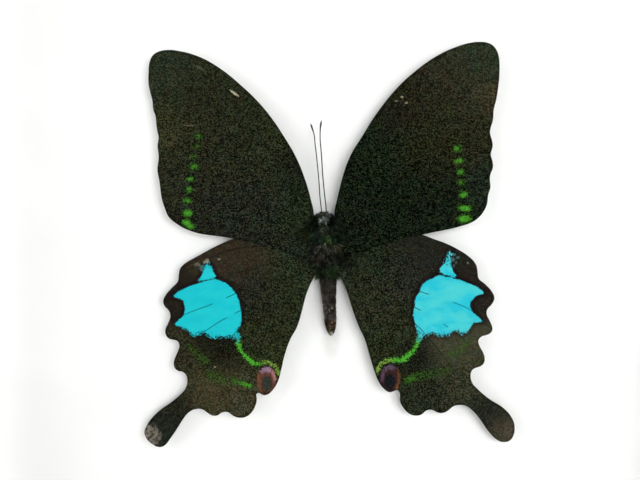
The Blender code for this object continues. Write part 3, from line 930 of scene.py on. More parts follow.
@dataclass(frozen=True)
class Rubber(Finish):
    """Black moulded rubber, a little dusty."""

    name: str = "rubber"
    black: Colour = (0.012, 0.012, 0.012)
    dusty: Colour = (0.06, 0.058, 0.054)
    dust_size: float = 2.5
    grain_size: float = 0.25

    def lay_on(self, tree: ShaderTree) -> None:
        """Lays the finish on.

        Args:
            tree: Its nodes.
        """
        dust = tree.spread(tree.noise(self.dust_size, detail=5.0), 0.45, 0.8)
        grain = tree.noise(self.grain_size, detail=2.0)
        tree.set(
            Base_Color=tree.mix(tree.times(dust, 0.5), self.black, self.dusty),
            Roughness=tree.spread(dust, 0.0, 1.0, 0.55, 0.85),
            Normal=tree.bump(grain, 0.03, 0.5),
        )


@dataclass(frozen=True)
class ScaleColours:
    """The colours of one wing's markings."""

    patch: Colour = paint(28, 193, 206)
    patch_pale_and_glare: Colour = paint(36, 200, 208)
    green: Colour = paint(74, 164, 46)
    green_dim: Colour = paint(52, 88, 28)
    arc: Colour = paint(118, 150, 62)
    lilac: Colour = paint(146, 116, 142)
    blush: Colour = paint(158, 108, 104)
    russet: Colour = paint(92, 58, 48)
    pupil: Colour = paint(52, 54, 46)
    orange: Colour = paint(176, 112, 66)
    rim: Colour = paint(26, 20, 22)
    tail_grey: Colour = paint(103, 98, 88)


@dataclass(frozen=True)
class Tick:
    """A small pale mark where scales are rubbed off."""

    centre: Point
    radii: Point
    degrees: float
    strength: float
    colour: Shown = (196, 190, 160)


@dataclass(frozen=True)
class WingScales(Finish):
    """Wing scales: a dark ground dusted with bright scales in rows, and crisp markings on top.

    Sizes are in millimetres.
    """

    name: str
    colours: ScaleColours
    hindwing: bool
    ticks: tuple[Tick, ...]
    row_size: float = 0.44
    scale_size: float = 0.25
    fine_scale_size: float = 0.17
    tint_size: float = 2.2
    greying_size: float = 0.9
    sheen_size: float = 5.0
    eye_grain_size: float = 0.35
    contrast: float = 0.12
    # Opposite casts of colour, of single scales and of whole patches of them
    scale_casts: tuple[Colour, Colour] = ((0.78, 1.0, 0.76), (1.22, 0.88, 1.2))
    patch_casts: tuple[Colour, Colour] = ((1.06, 0.98, 0.9), (0.93, 1.03, 1.04))

    def lay_on(self, tree: ShaderTree) -> None:
        """Lays the finish on.

        Args:
            tree: Its nodes.
        """
        colours = self.colours
        rows = tree.noise(self.row_size, tree.place((0.6, 1.0, 1.05)), detail=1.5, rough=0.6, warp=0.6)
        _, chance, bright, jitter = tree.cells(self.scale_size)
        shift = tree.math("SUBTRACT", jitter, 0.5)

        # Ground and dust swap over at a height of the pattern that falls as more scales are dusted
        height = tree.times_plus(chance, 0.55, tree.times(rows, 0.5))
        rough = tree.math("SUBTRACT", height, 0.52)
        level = tree.times_plus(tree.attribute("dusting"), -0.4, 0.74)
        lit = tree.spread(tree.math("SUBTRACT", height, level), -self.contrast, self.contrast)
        shade = tree.times_plus(bright, 0.5, 0.75)
        hue = tree.mix(bright, *self.scale_casts)
        dust = tree.multiplied(tree.attribute("dust", colour=True), hue)
        colour = tree.mix(lit, tree.attribute("ground", colour=True), dust)
        casts = tree.mix(tree.spread(tree.noise(self.tint_size, detail=1.0), 0.38, 0.62), *self.patch_casts)
        colour = tree.multiplied(tree.tinted(colour, shade), casts)

        # Green scales thinly strewn, or dense enough to make a spot
        strewn = tree.attribute("strewn")
        vivid = tree.times(tree.spread(strewn, 0.25, 0.9), tree.times_plus(lit, 0.6, 0.4))
        green = tree.mix(vivid, colours.green_dim, colours.green)
        ragged = tree.times_plus(rough, 0.9, strewn)
        colour = tree.mix(tree.spread(ragged, 0.12, 0.6), colour, tree.tinted(green, shade))

        if self.hindwing:
            colour = self._eyespot(tree, colour, shift)
            colour = self._band(tree, colour, rough, shade)
            colour = self._patch(tree, colour, shift, shade, chance)
            # Greyer, mottled scales towards the tip of the tail
            tail_grey = tree.spread(tree.times_plus(shift, 0.25, tree.attribute("tail_grey")), 0.42, 0.58)
            mottle = tree.spread(tree.noise(self.greying_size), 0.36, 0.64, 0.3, 1.7)
            colour = tree.mix(tree.times(tail_grey, 0.9), colour, tree.tinted(colours.tail_grey, mottle))
        bare = tree.spread(tree.attribute("patch_edge"), -0.3, 0.0, 1.0, 0.0) if self.hindwing else 1.0
        for tick in self.ticks:
            reach = tree.times_plus(shift, 0.6, tree.ellipse(tick.centre, tick.radii, tick.degrees))
            mark = tree.times(tree.spread(reach, 0.6, 1.1, tick.strength, 0.0), bare)
            colour = tree.mix(mark, colour, paint(*tick.colour))

        tree.set(
            Base_Color=colour,
            Roughness=0.7,
            Specular_IOR_Level=0.006,
            Normal=tree.bump(tree.times_plus(rows, 1.0, bright), 0.05, 0.3),
        )

    def _patch(
        self, tree: ShaderTree, under: Socket, shift: Socket, shade: Socket, chance: Socket
    ) -> Socket:
        """The turquoise patch, frayed below, with a near-black rim round it.

        Args:
            tree: Its nodes.
            under: What it covers.
            shift: A random value of each scale, from -0.5 to 0.5.
            shade: The lightness of each scale.
            chance: A random value of each scale, from 0 to 1.

        Returns:
            The colour.
        """
        reach = tree.attribute("patch_edge")
        fray = tree.attribute("fray")
        rim = tree.times(tree.spread(reach, -1.5, -0.3), tree.attribute("rim"))
        under = tree.mix(rim, under, self.colours.rim)
        depth = tree.times_plus(tree.times(shift, tree.spread(fray, 0, 1, 0.25, 0.9)), 1.0, reach)
        inside = tree.spread(depth, -0.07, 0.09)
        thin = tree.times(fray, tree.spread(reach, 0.0, 1.6, 0.46, 0.0))
        _, _, fine, _ = tree.cells(self.fine_scale_size)
        gaps = tree.spread(tree.math("SUBTRACT", tree.mix(0.5, chance, fine), thin), -0.02, 0.02)
        slanting = tree.place((1.0, 1.0, 1.6), (0, math.radians(30), 0))
        cloud = tree.noise(self.sheen_size, slanting, detail=2.0)
        # Clouds of paler turquoise; on the right wing this paler colour is painted glare
        rich = tree.mix(tree.spread(cloud, 0.35, 0.65), self.colours.patch, self.colours.patch_pale_and_glare)
        turquoise = tree.tinted(rich, tree.times_plus(shade, 0.14, 0.86))
        return tree.mix(tree.times(inside, gaps), under, turquoise)

    def _band(self, tree: ShaderTree, under: Socket, rough: Socket, shade: Socket) -> Socket:
        """The green band: turquoise where it leaves the patch, then green, and pale over the eyespot.

        Args:
            tree: Its nodes.
            under: What it covers.
            rough: The height of the scales' pattern, which frays its edges.
            shade: The lightness of each scale.

        Returns:
            The colour.
        """
        depth = tree.times_plus(rough, 1.15, tree.attribute("band"))
        halo = tree.spread(depth, -0.6, -0.1, 0.0, 0.28)
        hue = tree.ramp(
            tree.attribute("band_share"),
            (0, self.colours.patch_pale_and_glare),
            (0.11, self.colours.green),
            (0.55, self.colours.green),
            (0.66, self.colours.arc),
            (1, self.colours.arc),
        )
        under = tree.mix(halo, under, self.colours.green_dim)
        return tree.mix(tree.spread(depth, -0.14, 0.16), under, tree.tinted(hue, shade))

    def _eyespot(self, tree: ShaderTree, under: Socket, shift: Socket) -> Socket:
        """The eyespot near the rear corner: dark middle, russet ring, lilac crescent and orange corner.

        Args:
            tree: Its nodes.
            under: What it covers.
            shift: A random value of each scale, from -0.5 to 0.5.

        Returns:
            The colour.
        """
        colours = self.colours
        across, along = tree.attribute("eye_across"), tree.attribute("eye_along")
        square = tree.math("ADD", tree.times(across, across), tree.times(along, along))
        reach = tree.times_plus(shift, 0.14, tree.math("SQRT", square))
        rings = tree.ramp(reach, (0.0, colours.russet), (0.8, colours.russet), (0.98, colours.rim))
        pupil = tree.spread(tree.attribute("eye_pupil"), 0.85, 1.2, 1.0, 0.0)
        rings = tree.mix(pupil, rings, colours.pupil)
        band = tree.times(tree.spread(reach, 0.5, 0.72), tree.spread(reach, 0.88, 1.0, 1.0, 0.0))
        crescent = tree.times(band, tree.spread(tree.attribute("eye_crescent"), 0.05, 0.5))
        side = tree.attribute("eye_side")
        hue = tree.mix(tree.spread(side, -0.7, 0.1), colours.blush, colours.lilac)
        rings = tree.mix(crescent, rings, hue)
        outer = tree.times(tree.spread(side, 0.6, 0.9), tree.spread(reach, 0.7, 0.9))
        rings = tree.mix(tree.times(outer, 0.35), rings, colours.orange)
        rings = tree.mix(tree.attribute("eye_corner"), rings, colours.orange)
        grain = tree.spread(tree.noise(self.eye_grain_size), 0.35, 0.65, 0.75, 1.3)
        return tree.mix(tree.spread(reach, 0.98, 1.14, 1.0, 0.0), under, tree.tinted(rings, grain))


@dataclass(frozen=True)
class Vein(Finish):
    """The dark, slightly shiny tubes that stiffen a wing."""

    name: str = "wing_vein"
    colour: Colour = paint(14, 14, 10)
    lightest: float = 2.0
    speckle_size: float = 0.3

    def lay_on(self, tree: ShaderTree) -> None:
        """Lays the finish on.

        Args:
            tree: Its nodes.
        """
        speckle = tree.noise(self.speckle_size, detail=2.0)
        light = tuple(channel * self.lightest for channel in self.colour)
        tree.set(
            Base_Color=tree.mix(tree.spread(speckle, 0.4, 0.7), self.colour, light),
            Roughness=0.6,
            Specular_IOR_Level=0.02,
            Normal=tree.bump(speckle, 0.02, 0.5),
        )


@dataclass(frozen=True)
class Chitin(Finish):
    """The insect's shell under its fur."""

    name: str
    dark: Colour
    light: Colour
    mottle_size: float = 0.55

    def lay_on(self, tree: ShaderTree) -> None:
        """Lays the finish on.

        Args:
            tree: Its nodes.
        """
        mottle = tree.noise(self.mottle_size, detail=4.0, rough=0.7)
        tree.set(
            Base_Color=tree.mix(tree.spread(mottle, 0.3, 0.7), self.dark, self.light),
            Roughness=0.5,
            Specular_IOR_Level=0.2,
            Normal=tree.bump(mottle, 0.08, 0.6),
        )


@dataclass(frozen=True)
class Fur(Finish):
    """Fine hair and body scales, each with its own stored colour."""

    name: str = "fur"

    def lay_on(self, tree: ShaderTree) -> None:
        """Lays the finish on.

        Args:
            tree: Its nodes.
        """
        tree.set(Base_Color=tree.attribute("hue", colour=True), Roughness=0.6, Specular_IOR_Level=0.06)


@dataclass(frozen=True)
class CompoundEye(Finish):
    """A dark eye with fine facets."""

    name: str
    dark: Colour
    light: Colour
    facet_size: float = 0.09

    def lay_on(self, tree: ShaderTree) -> None:
        """Lays the finish on.

        Args:
            tree: Its nodes.
        """
        distance, facet, _, _ = tree.cells(self.facet_size)
        tree.set(
            Base_Color=tree.mix(facet, self.dark, self.light),
            Roughness=0.16,
            Normal=tree.bump(distance, 0.02, 0.5),
        )


# Frame


@dataclass
class BoxFrame:
    """The wooden frame, its glass, spacers and boards, and the fixings behind."""

    rail_bevel: float = 0.35
    card_bevel: float = 0.15
    point_bevel: float = 0.12
    hanger_bevel: float = 0.1
    nail_bevel: float = 0.05
    bumper_bevel: float = 0.3
    points: int = 8
    materials: dict[str, Material] = field(default_factory=dict)

    def build(self) -> None:
        """Builds and dresses every piece of the frame."""
        self.materials = {
            "card": WhiteCard().build(),
            "board": WhiteCard("board_paper", stained=True).build(),
            "hardboard": Hardboard().build(),
            "steel": ZincSteel().build(),
            "rubber": Rubber().build(),
            "glass": ClearGlass().build(),
        }
        self._rails()
        self._filling()
        self._fixings()

    def _rails(self) -> None:
        """Four rails with softened arrises, the grain along each."""
        for grain, sides in ((Grain.ALONG_X, ("bottom", "top")), (Grain.ALONG_Z, ("left", "right"))):
            wood = StainedWood(grain).build()
            for side in sides:
                node = f"frame_rail_{side}"
                finish_piece(fine_copy(node, f"rail_{side}", self.rail_bevel), wood, "wood", node)

    def _dress(self, node: str, material: Material) -> None:
        """Gives a solid that keeps its shape its material.

        Args:
            node: The solid's name.
            material: The material.
        """
        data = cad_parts[node].data
        data.materials.clear()
        data.materials.append(material)
        LOG.info("%s: solid kept", node)

    def _filling(self) -> None:
        """Glass, spacers, mount board and back panel."""
        self._dress("glass_pane", self.materials["glass"])
        for side in ("bottom", "top", "left", "right"):
            node = f"spacer_{side}"
            spacer = fine_copy(node, f"card_{node}", self.card_bevel)
            finish_piece(spacer, self.materials["card"], "white_card", node)
        self._dress("mount_board", self.materials["board"])
        self._dress("back_panel", self.materials["hardboard"])

    def _fixings(self) -> None:
        """Framer's points, hanger, nails and bumpers."""
        steel, rubber = self.materials["steel"], self.materials["rubber"]
        for number in range(1, self.points + 1):
            node = f"framer_point_{number}"
            finish_piece(fine_copy(node, f"steel_{node}", self.point_bevel, 1), steel, "steel", node)
        hanger = fine_copy("sawtooth_hanger", "toothed_hanger", self.hanger_bevel, 1)
        finish_piece(hanger, steel, "steel", "sawtooth_hanger")
        for side in ("left", "right"):
            nail = fine_copy(f"hanger_nail_{side}", f"nail_{side}", self.nail_bevel, 1)
            finish_piece(nail, steel, "steel", f"hanger_nail_{side}")
            bumper = fine_copy(f"bumper_{side}", f"rubber_bumper_{side}", self.bumper_bevel, 3)
            finish_piece(bumper, rubber, "rubber", f"bumper_{side}")


# Wings


class Side(Enum):
    """The side of the specimen, with its sign along x."""

    LEFT = -1
    RIGHT = 1


@dataclass(frozen=True)
class Wash:
    """A soft area of the wing: where, how wide, the colour of its ground and that of its dust."""

    centre: Point
    radius: float
    ground: Shown
    dust: Shown


@dataclass(kw_only=True)
class Wing:
    """One wing: a thin closed sheet with relief, its markings stored on its vertices, and its veins.

    Sizes are in millimetres.
    """

    side: Side
    edge: Line
    veins: tuple[Line, ...]
    washes: tuple[Wash, ...]
    root_height: float
    droop: float
    ticks: tuple[Tick, ...] = ()
    colours: ScaleColours = ScaleColours()
    # Places where the veins sink under the scales, each with its radius
    sunk: tuple[tuple[Point, float], ...] = ()
    cell: float = 0.55
    thickness: float = 0.16
    vein_radius: float = 0.1
    vein_ridge: float = 0.1
    vein_hollow: float = 0.22
    ridge_width: float = 0.45
    hollow_width: float = 2.6
    wave_height: float = 0.12
    rim_width: float = 0.4
    rim_dark: float = 0.4
    # Share of the scales that are dust
    dusting: float = 0.5
    tail_start: float = -30.0
    tail_droop: float = 0.0
    kind: str = "wing"

    @property
    def label(self) -> str:
        """The wing's name, as its solid has it."""
        return f"{self.kind}_{self.side.name.lower()}"

    def middle_height(self, places: Rows) -> Rows:
        """Height over the board of the wing without its relief, in millimetres."""
        tail = self.tail_droop * np.maximum(0.0, self.tail_start - places[:, 1])
        return self.root_height - self.droop * np.abs(places[:, 0]) - tail

    def relief(self, places: Rows, edge: Rows) -> Rows:
        """Ridges over the veins, hollows between them and a soft wave along the outer edge.

        Args:
            places: x and up of each place.
            edge: How far each is from the edge.

        Returns:
            The height of each place over the wing's middle.
        """
        nearest = np.full(len(places), 9.0)
        for vein in self.veins:
            gap, _ = reach_to_line(places, smooth_line(vein, 4))
            nearest = np.minimum(nearest, gap)
        ridge = self.vein_ridge * fall_off(nearest, self.ridge_width)
        hollow = -self.vein_hollow * (1 - fall_off(nearest, self.hollow_width))
        wave = self.wave_height * np.sin(places[:, 1] * 0.9) * np.exp(-edge / 3.0)
        fade = 1 - np.exp(-edge / 1.2)
        return (ridge + hollow) * fade + wave

    def washed(self, places: Rows, edge: Rows) -> dict[str, Rows]:
        """The wing's ground and dust.

        Args:
            places: x and up of each vertex.
            edge: How far each is from the edge.

        Returns:
            The values by name.
        """
        weights = [fall_off(gap_to(places, wash.centre), wash.radius) + 1e-6 for wash in self.washes]
        total = sum(weights)[:, None]
        pairs = list(zip(weights, self.washes))
        ground = sum(weight[:, None] * np.array(paint(*wash.ground)) for weight, wash in pairs)
        dust = sum(weight[:, None] * np.array(paint(*wash.dust)) for weight, wash in pairs)
        rim = 1 - self.rim_dark * fall_off(edge, self.rim_width)
        return {
            "ground": ground / total * rim[:, None],
            "dust": dust / total,
            "dusting": self.dusting * rim,
        }

    def drawn(self, places: Rows) -> dict[str, Rows]:
        """The values of what is drawn on this kind of wing."""
        raise NotImplementedError

    def build(self, vein_finish: Material) -> None:
        """Builds and dresses the wing and its veins.

        Args:
            vein_finish: The veins' material.
        """
        sheet = self._flat_sheet()
        places = np.zeros(len(sheet.data.vertices) * 3)
        sheet.data.vertices.foreach_get("co", places)
        places = places.reshape(-1, 3)[:, :2] / MM
        border = smooth_loop(self.edge, 6)
        edge, _ = reach_to_line(places, border, closed=True)
        height = self.middle_height(places) + self.relief(places, edge)
        sheet.data.vertices.foreach_set("co", board_rows(places[:, 0], places[:, 1], height).ravel())
        for name, values in (self.washed(places, edge) | self.drawn(places)).items():
            store(sheet, name, values)
        face_outwards(sheet)
        solid = sheet.modifiers.new("thickness", "SOLIDIFY")
        solid.thickness = self.thickness * MM
        solid.offset = 0.0
        apply_modifier(sheet, solid)
        smooth_by_angle(sheet, 50)
        scales = WingScales(f"scales_{self.label}", self.colours, self.kind == "hindwing", self.ticks)
        finish_piece(sheet, scales.build(), self.kind, self.label)
        self._vein_tubes(vein_finish)

    def _flat_sheet(self) -> Piece:
        """The flat outline, filled and cut into small cells, in the XY plane.

        Returns:
            The sheet.
        """
        curve = bpy.data.curves.new(f"sheet_{self.label}", "CURVE")
        curve.dimensions = "2D"
        curve.fill_mode = "NONE"
        curve.resolution_u = 5
        spline = curve.splines.new("BEZIER")
        spline.bezier_points.add(len(self.edge) - 1)
        for knot, (x, up) in zip(spline.bezier_points, self.edge):
            knot.co = (x * MM, up * MM, 0.0)
            knot.handle_left_type = knot.handle_right_type = "AUTO"
        spline.use_cyclic_u = True
        sheet = as_mesh(new_object(f"sheet_{self.label}", curve))
        with editing(sheet):
            bpy.ops.mesh.remove_doubles(threshold=SAME_PLACE)
            bpy.ops.mesh.select_all(action="SELECT")
            bpy.ops.mesh.edge_face_add()
            corners = np.array(self.edge)
            for axis, facing in enumerate(((1.0, 0.0, 0.0), (0.0, 1.0, 0.0))):
                low, high = corners[:, axis].min(), corners[:, axis].max()
                for cut in np.arange(low + self.cell, high, self.cell):
                    place = [float(cut) * MM * part for part in facing]
                    bpy.ops.mesh.select_all(action="SELECT")
                    bpy.ops.mesh.bisect(plane_co=place, plane_no=facing)
            bpy.ops.mesh.select_all(action="SELECT")
            bpy.ops.mesh.quads_convert_to_tris(quad_method="BEAUTY", ngon_method="BEAUTY")
        return sheet

    def _vein_tubes(self, vein_finish: Material) -> None:
        """The veins as thin tubes, half sunk in the wing and thinner towards its edge.

        Args:
            vein_finish: Their material.
        """
        border = smooth_loop(self.edge, 6)
        routes = []
        for vein in self.veins:
            line = smooth_line(vein, 8)
            edge, _ = reach_to_line(line, border, closed=True)
            inside = within(line, border) & (edge > 0.12)
            line, edge = line[inside], edge[inside]
            if len(line) < 3:
                continue
            height = self.middle_height(line) + self.relief(line, edge) + self.thickness * 0.5
            height -= self.vein_radius * 0.45
            for centre, radius in self.sunk:
                height -= 0.2 * np.clip(1.5 - gap_to(line, centre) / radius, 0, 1)
            taper = np.linspace(1.0, 0.5, len(line)) * self.vein_radius
            routes.append(np.column_stack([board_rows(line[:, 0], line[:, 1], height), taper * MM]))
        finish_piece(tubes(f"veins_{self.label}", routes, sides=1), vein_finish, self.kind)


@dataclass(kw_only=True)
class Forewing(Wing):
    """A forewing, with its column of green spots."""

    kind: str = "forewing"
    # Centre, radii and strength of each spot
    spots: tuple[tuple[Point, Point, float], ...]

    def drawn(self, places: Rows) -> dict[str, Rows]:
        """Green scales strewn over the spots.

        Args:
            places: x and up of each vertex.

        Returns:
            The values by name.
        """
        strewn = np.zeros(len(places))
        for centre, radii, strength in self.spots:
            reach = np.linalg.norm((places - np.array(centre)) / np.array(radii), axis=1)
            strewn = np.maximum(strewn, strength * np.exp(-(reach**2.4)))
        return {"strewn": strewn}


@dataclass(frozen=True)
class Eyespot:
    """The eyespot near a hindwing's rear corner. Its crescent faces one way, its orange rim left or right."""

    centre: Point
    crescent: Point
    corner: Point
    orange_side: Side
    radii: Point = (2.3, 3.3)
    pupil_drop: float = 0.28
    pupil_size: float = 0.55
    corner_width: float = 0.75


@dataclass(kw_only=True)
class Hindwing(Wing):
    """A hindwing with its turquoise patch, green band, eyespot and tail."""

    kind: str = "hindwing"
    tail_droop: float = 0.010
    # The turquoise patch, and the tooth that stands on its front edge
    patch: Line
    tooth: Line
    # x, up and width of the band at each knot
    band: tuple[tuple[float, float, float], ...]
    eyespot: Eyespot
    # From, to, half width and strength of each streak of green scales
    streaks: tuple[tuple[Point, Point, float, float], ...]
    tail_tip: Point
    tail_greying: float
    greying_width: float = 3.2
    # The patch frays below this place on the board, and inwards of this one
    fray_from: float = -19.0
    fray_inner: float = 23.5

    def drawn(self, places: Rows) -> dict[str, Rows]:
        """Everything drawn on the hindwing.

        Args:
            places: x and up of each vertex.

        Returns:
            The values by name.
        """
        strewn = np.zeros(len(places))
        for start, end, half_width, strength in self.streaks:
            gap, _ = reach_to_line(places, np.array([start, end]))
            strewn = np.maximum(strewn, strength * fall_off(gap, half_width))
        patch = depth_inside(places, smooth_loop(self.patch, 4))
        tooth = depth_inside(places, smooth_loop(self.tooth, 4))
        band = along_knots(np.array(self.band), 6, closed=False)
        gap, share = reach_to_line(places, band[:, :2])
        low = np.clip((self.fray_from - places[:, 1]) / 2.5, 0, 1)
        inner = 0.2 * np.clip((self.fray_inner - np.abs(places[:, 0])) / 2.0, 0, 1)
        top = max(up for _, up in self.patch)
        high = 0.8 * np.clip((places[:, 1] - top - 1.0) / 2.2, 0, 1)
        return {
            "strewn": strewn,
            "patch_edge": np.maximum(patch, tooth),
            "band": np.interp(share, np.linspace(0, 1, len(band)), band[:, 2]) / 2 - gap,
            "band_share": share,
            "fray": np.clip(low + inner + high, 0.0, 1.0),
            "rim": np.where(places[:, 1] < self.fray_from, 0.5, 0.85),
            "tail_grey": self.tail_greying * fall_off(gap_to(places, self.tail_tip), self.greying_width),
            **self._eye_values(places),
        }

    def _eye_values(self, places: Rows) -> dict[str, Rows]:
        """The values that draw the eyespot.

        Args:
            places: x and up of each vertex.

        Returns:
            The values by name.
        """
        spot = self.eyespot
        centre, radii = np.array(spot.centre), np.array(spot.radii)
        local = (places - centre) / radii
        pupil = (places - centre + np.array([0.0, spot.pupil_drop * spot.radii[1]])) / radii
        facing = np.array(spot.crescent) / np.linalg.norm(spot.crescent)
        return {
            "eye_across": local[:, 0],
            "eye_along": local[:, 1],
            "eye_crescent": local @ facing,
            "eye_side": local[:, 0] * spot.orange_side.value,
            "eye_pupil": np.linalg.norm(pupil, axis=1) / spot.pupil_size,
            "eye_corner": fall_off(gap_to(places, spot.corner), spot.corner_width),
        }


# Left and right wings, as drawn from the specimen


# Scales rubbed down to a bluish grey
ASH: Shown = (104, 150, 152)

LEFT_FOREWING = Forewing(
    side=Side.LEFT,
    edge=LEFT_FOREWING_EDGE,
    root_height=5.0,
    droop=0.022,
    veins=(
        ((-4.2, 3), (-8, 12), (-12.5, 20), (-17.5, 26), (-27, 36), (-38.5, 44.2)),
        ((-12.5, 20), (-17, 27.5), (-22.5, 34.5), (-27.5, 40.5)),
        ((-17.2, 25.6), (-28, 32.5), (-41.8, 38.8)),
        ((-18.4, 22), (-29, 26.5), (-40.3, 28.6)),
        ((-18.4, 18.5), (-29, 21.3), (-39.9, 22.9)),
        ((-16.8, 13.5), (-28, 16), (-40, 17.2)),
        ((-4.4, 1.5), (-13, 7.5), (-26, 10.2), (-39.2, 11.4)),
        ((-13, 7.5), (-16.8, 13.5), (-18.4, 18.5), (-18.4, 22), (-17.2, 25.6)),
        ((-4.5, 0.3), (-18, 2.6), (-30, 4.6), (-37.4, 6.3)),
    ),
    washes=(
        Wash((-38.5, 42), 7, (24, 30, 21), (56, 62, 48)),
        Wash((-28, 36), 9, (21, 22, 13), (48, 51, 36)),
        Wash((-39, 27), 4.5, (24, 24, 14), (68, 70, 46)),
        Wash((-38.5, 14), 5, (15, 16, 11), (53, 56, 41)),
        Wash((-25, 24), 9, (14, 15, 9), (54, 56, 40)),
        Wash((-14, 22), 6, (14, 15, 9), (52, 58, 38)),
        Wash((-26, 8), 8, (10, 11, 8), (47, 49, 40)),
        Wash((-15, 10), 7, (9, 11, 7), (47, 51, 41)),
        Wash((-7, 9), 5, (9, 14, 6), (44, 56, 38)),
        Wash((-7, 18), 3.5, (7, 7, 6), (36, 38, 34)),
    ),
    ticks=(
        Tick((-21.7, 35.1), (1.2, 0.26), -36, 0.8),
        Tick((-32.4, 27.6), (1.6, 0.2), 2, 0.14),
        Tick((-29.6, 41), (1.5, 0.3), -25, 0.08),
    ),
    spots=(
        ((-30.3, 25.1), (1, 0.8), 0.55),
        ((-30.9, 22.7), (0.8, 0.6), 0.45),
        ((-31.5, 20.3), (0.9, 0.65), 0.5),
        ((-31.3, 17.9), (1.2, 0.9), 0.6),
        ((-32.3, 15.1), (1.1, 0.75), 0.65),
        ((-32.6, 12.6), (1.1, 0.7), 0.65),
        ((-33, 10), (1.2, 0.8), 0.7),
        ((-32.9, 7), (1.3, 0.85), 0.95),
        ((-33.3, 4.9), (1.2, 0.8), 1),
        ((-32.3, 3.9), (1.1, 0.6), 1),
    ),
)

RIGHT_FOREWING = Forewing(
    side=Side.RIGHT,
    edge=RIGHT_FOREWING_EDGE,
    root_height=5.0,
    droop=0.022,
    veins=(
        ((3.6, 3), (6.3, 12), (10.5, 20.5), (15.8, 27.2), (25.5, 37.5), (36, 45.4)),
        ((10.5, 20.5), (15, 28.5), (20.5, 35.8), (26, 42.6)),
        ((15.6, 26.8), (26.5, 33.8), (39.7, 38.5)),
        ((17, 23), (27.5, 27.6), (38.4, 29.6)),
        ((17.2, 19.5), (27.5, 22.3), (38.3, 23.6)),
        ((15.8, 14.5), (27, 17), (38.3, 18.4)),
        ((3.8, 1.8), (12.3, 8.3), (25, 11), (37.6, 12.4)),
        ((12.3, 8.3), (15.8, 14.5), (17.2, 19.5), (17, 23), (15.6, 26.8)),
        ((3.9, 0.6), (17, 3.6), (28.5, 5.8), (36, 7.3)),
    ),
    washes=(
        Wash((36.5, 42.5), 7, (26, 32, 22), (52, 61, 47)),
        Wash((29, 37), 6, (28, 25, 17), (58, 55, 42)),
        Wash((22, 32.5), 4.5, (13, 12, 7), (46, 45, 33)),
        Wash((17, 29), 3.5, (13, 8, 7), (39, 35, 27)),
        Wash((38.5, 34), 3.5, (40, 35, 23), (77, 69, 51)),
        Wash((36.5, 26), 5, (14, 14, 9), (52, 53, 38)),
        Wash((36, 13), 5, (9, 12, 8), (43, 52, 40)),
        Wash((25, 25), 9, (11, 12, 6), (50, 51, 34)),
        Wash((13, 22), 6, (2, 4, 1), (32, 43, 30)),
        Wash((25, 10), 8, (2, 4, 2), (30, 37, 28)),
        Wash((13, 10), 7, (2, 3, 1), (28, 37, 26)),
        Wash((6, 8), 5, (3, 4, 2), (34, 41, 31)),
    ),
    ticks=(
        Tick((17.4, 33.9), (0.4, 0.35), 0, 0.4),
        Tick((18.4, 32.6), (0.35, 0.3), 0, 0.35),
        Tick((16.1, 33), (0.3, 0.25), 0, 0.3),
    ),
    spots=(
        ((30.2, 22), (1.3, 0.85), 0.6),
        ((30.6, 19.1), (1.2, 0.65), 0.75),
        ((31.1, 16.6), (1, 0.7), 0.75),
        ((31.2, 14.1), (1.1, 0.75), 0.5),
        ((31.7, 11.3), (1.1, 0.85), 0.8),
        ((32.1, 8.1), (1.6, 0.75), 0.95),
        ((32.1, 5.7), (1.7, 0.95), 1),
    ),
)

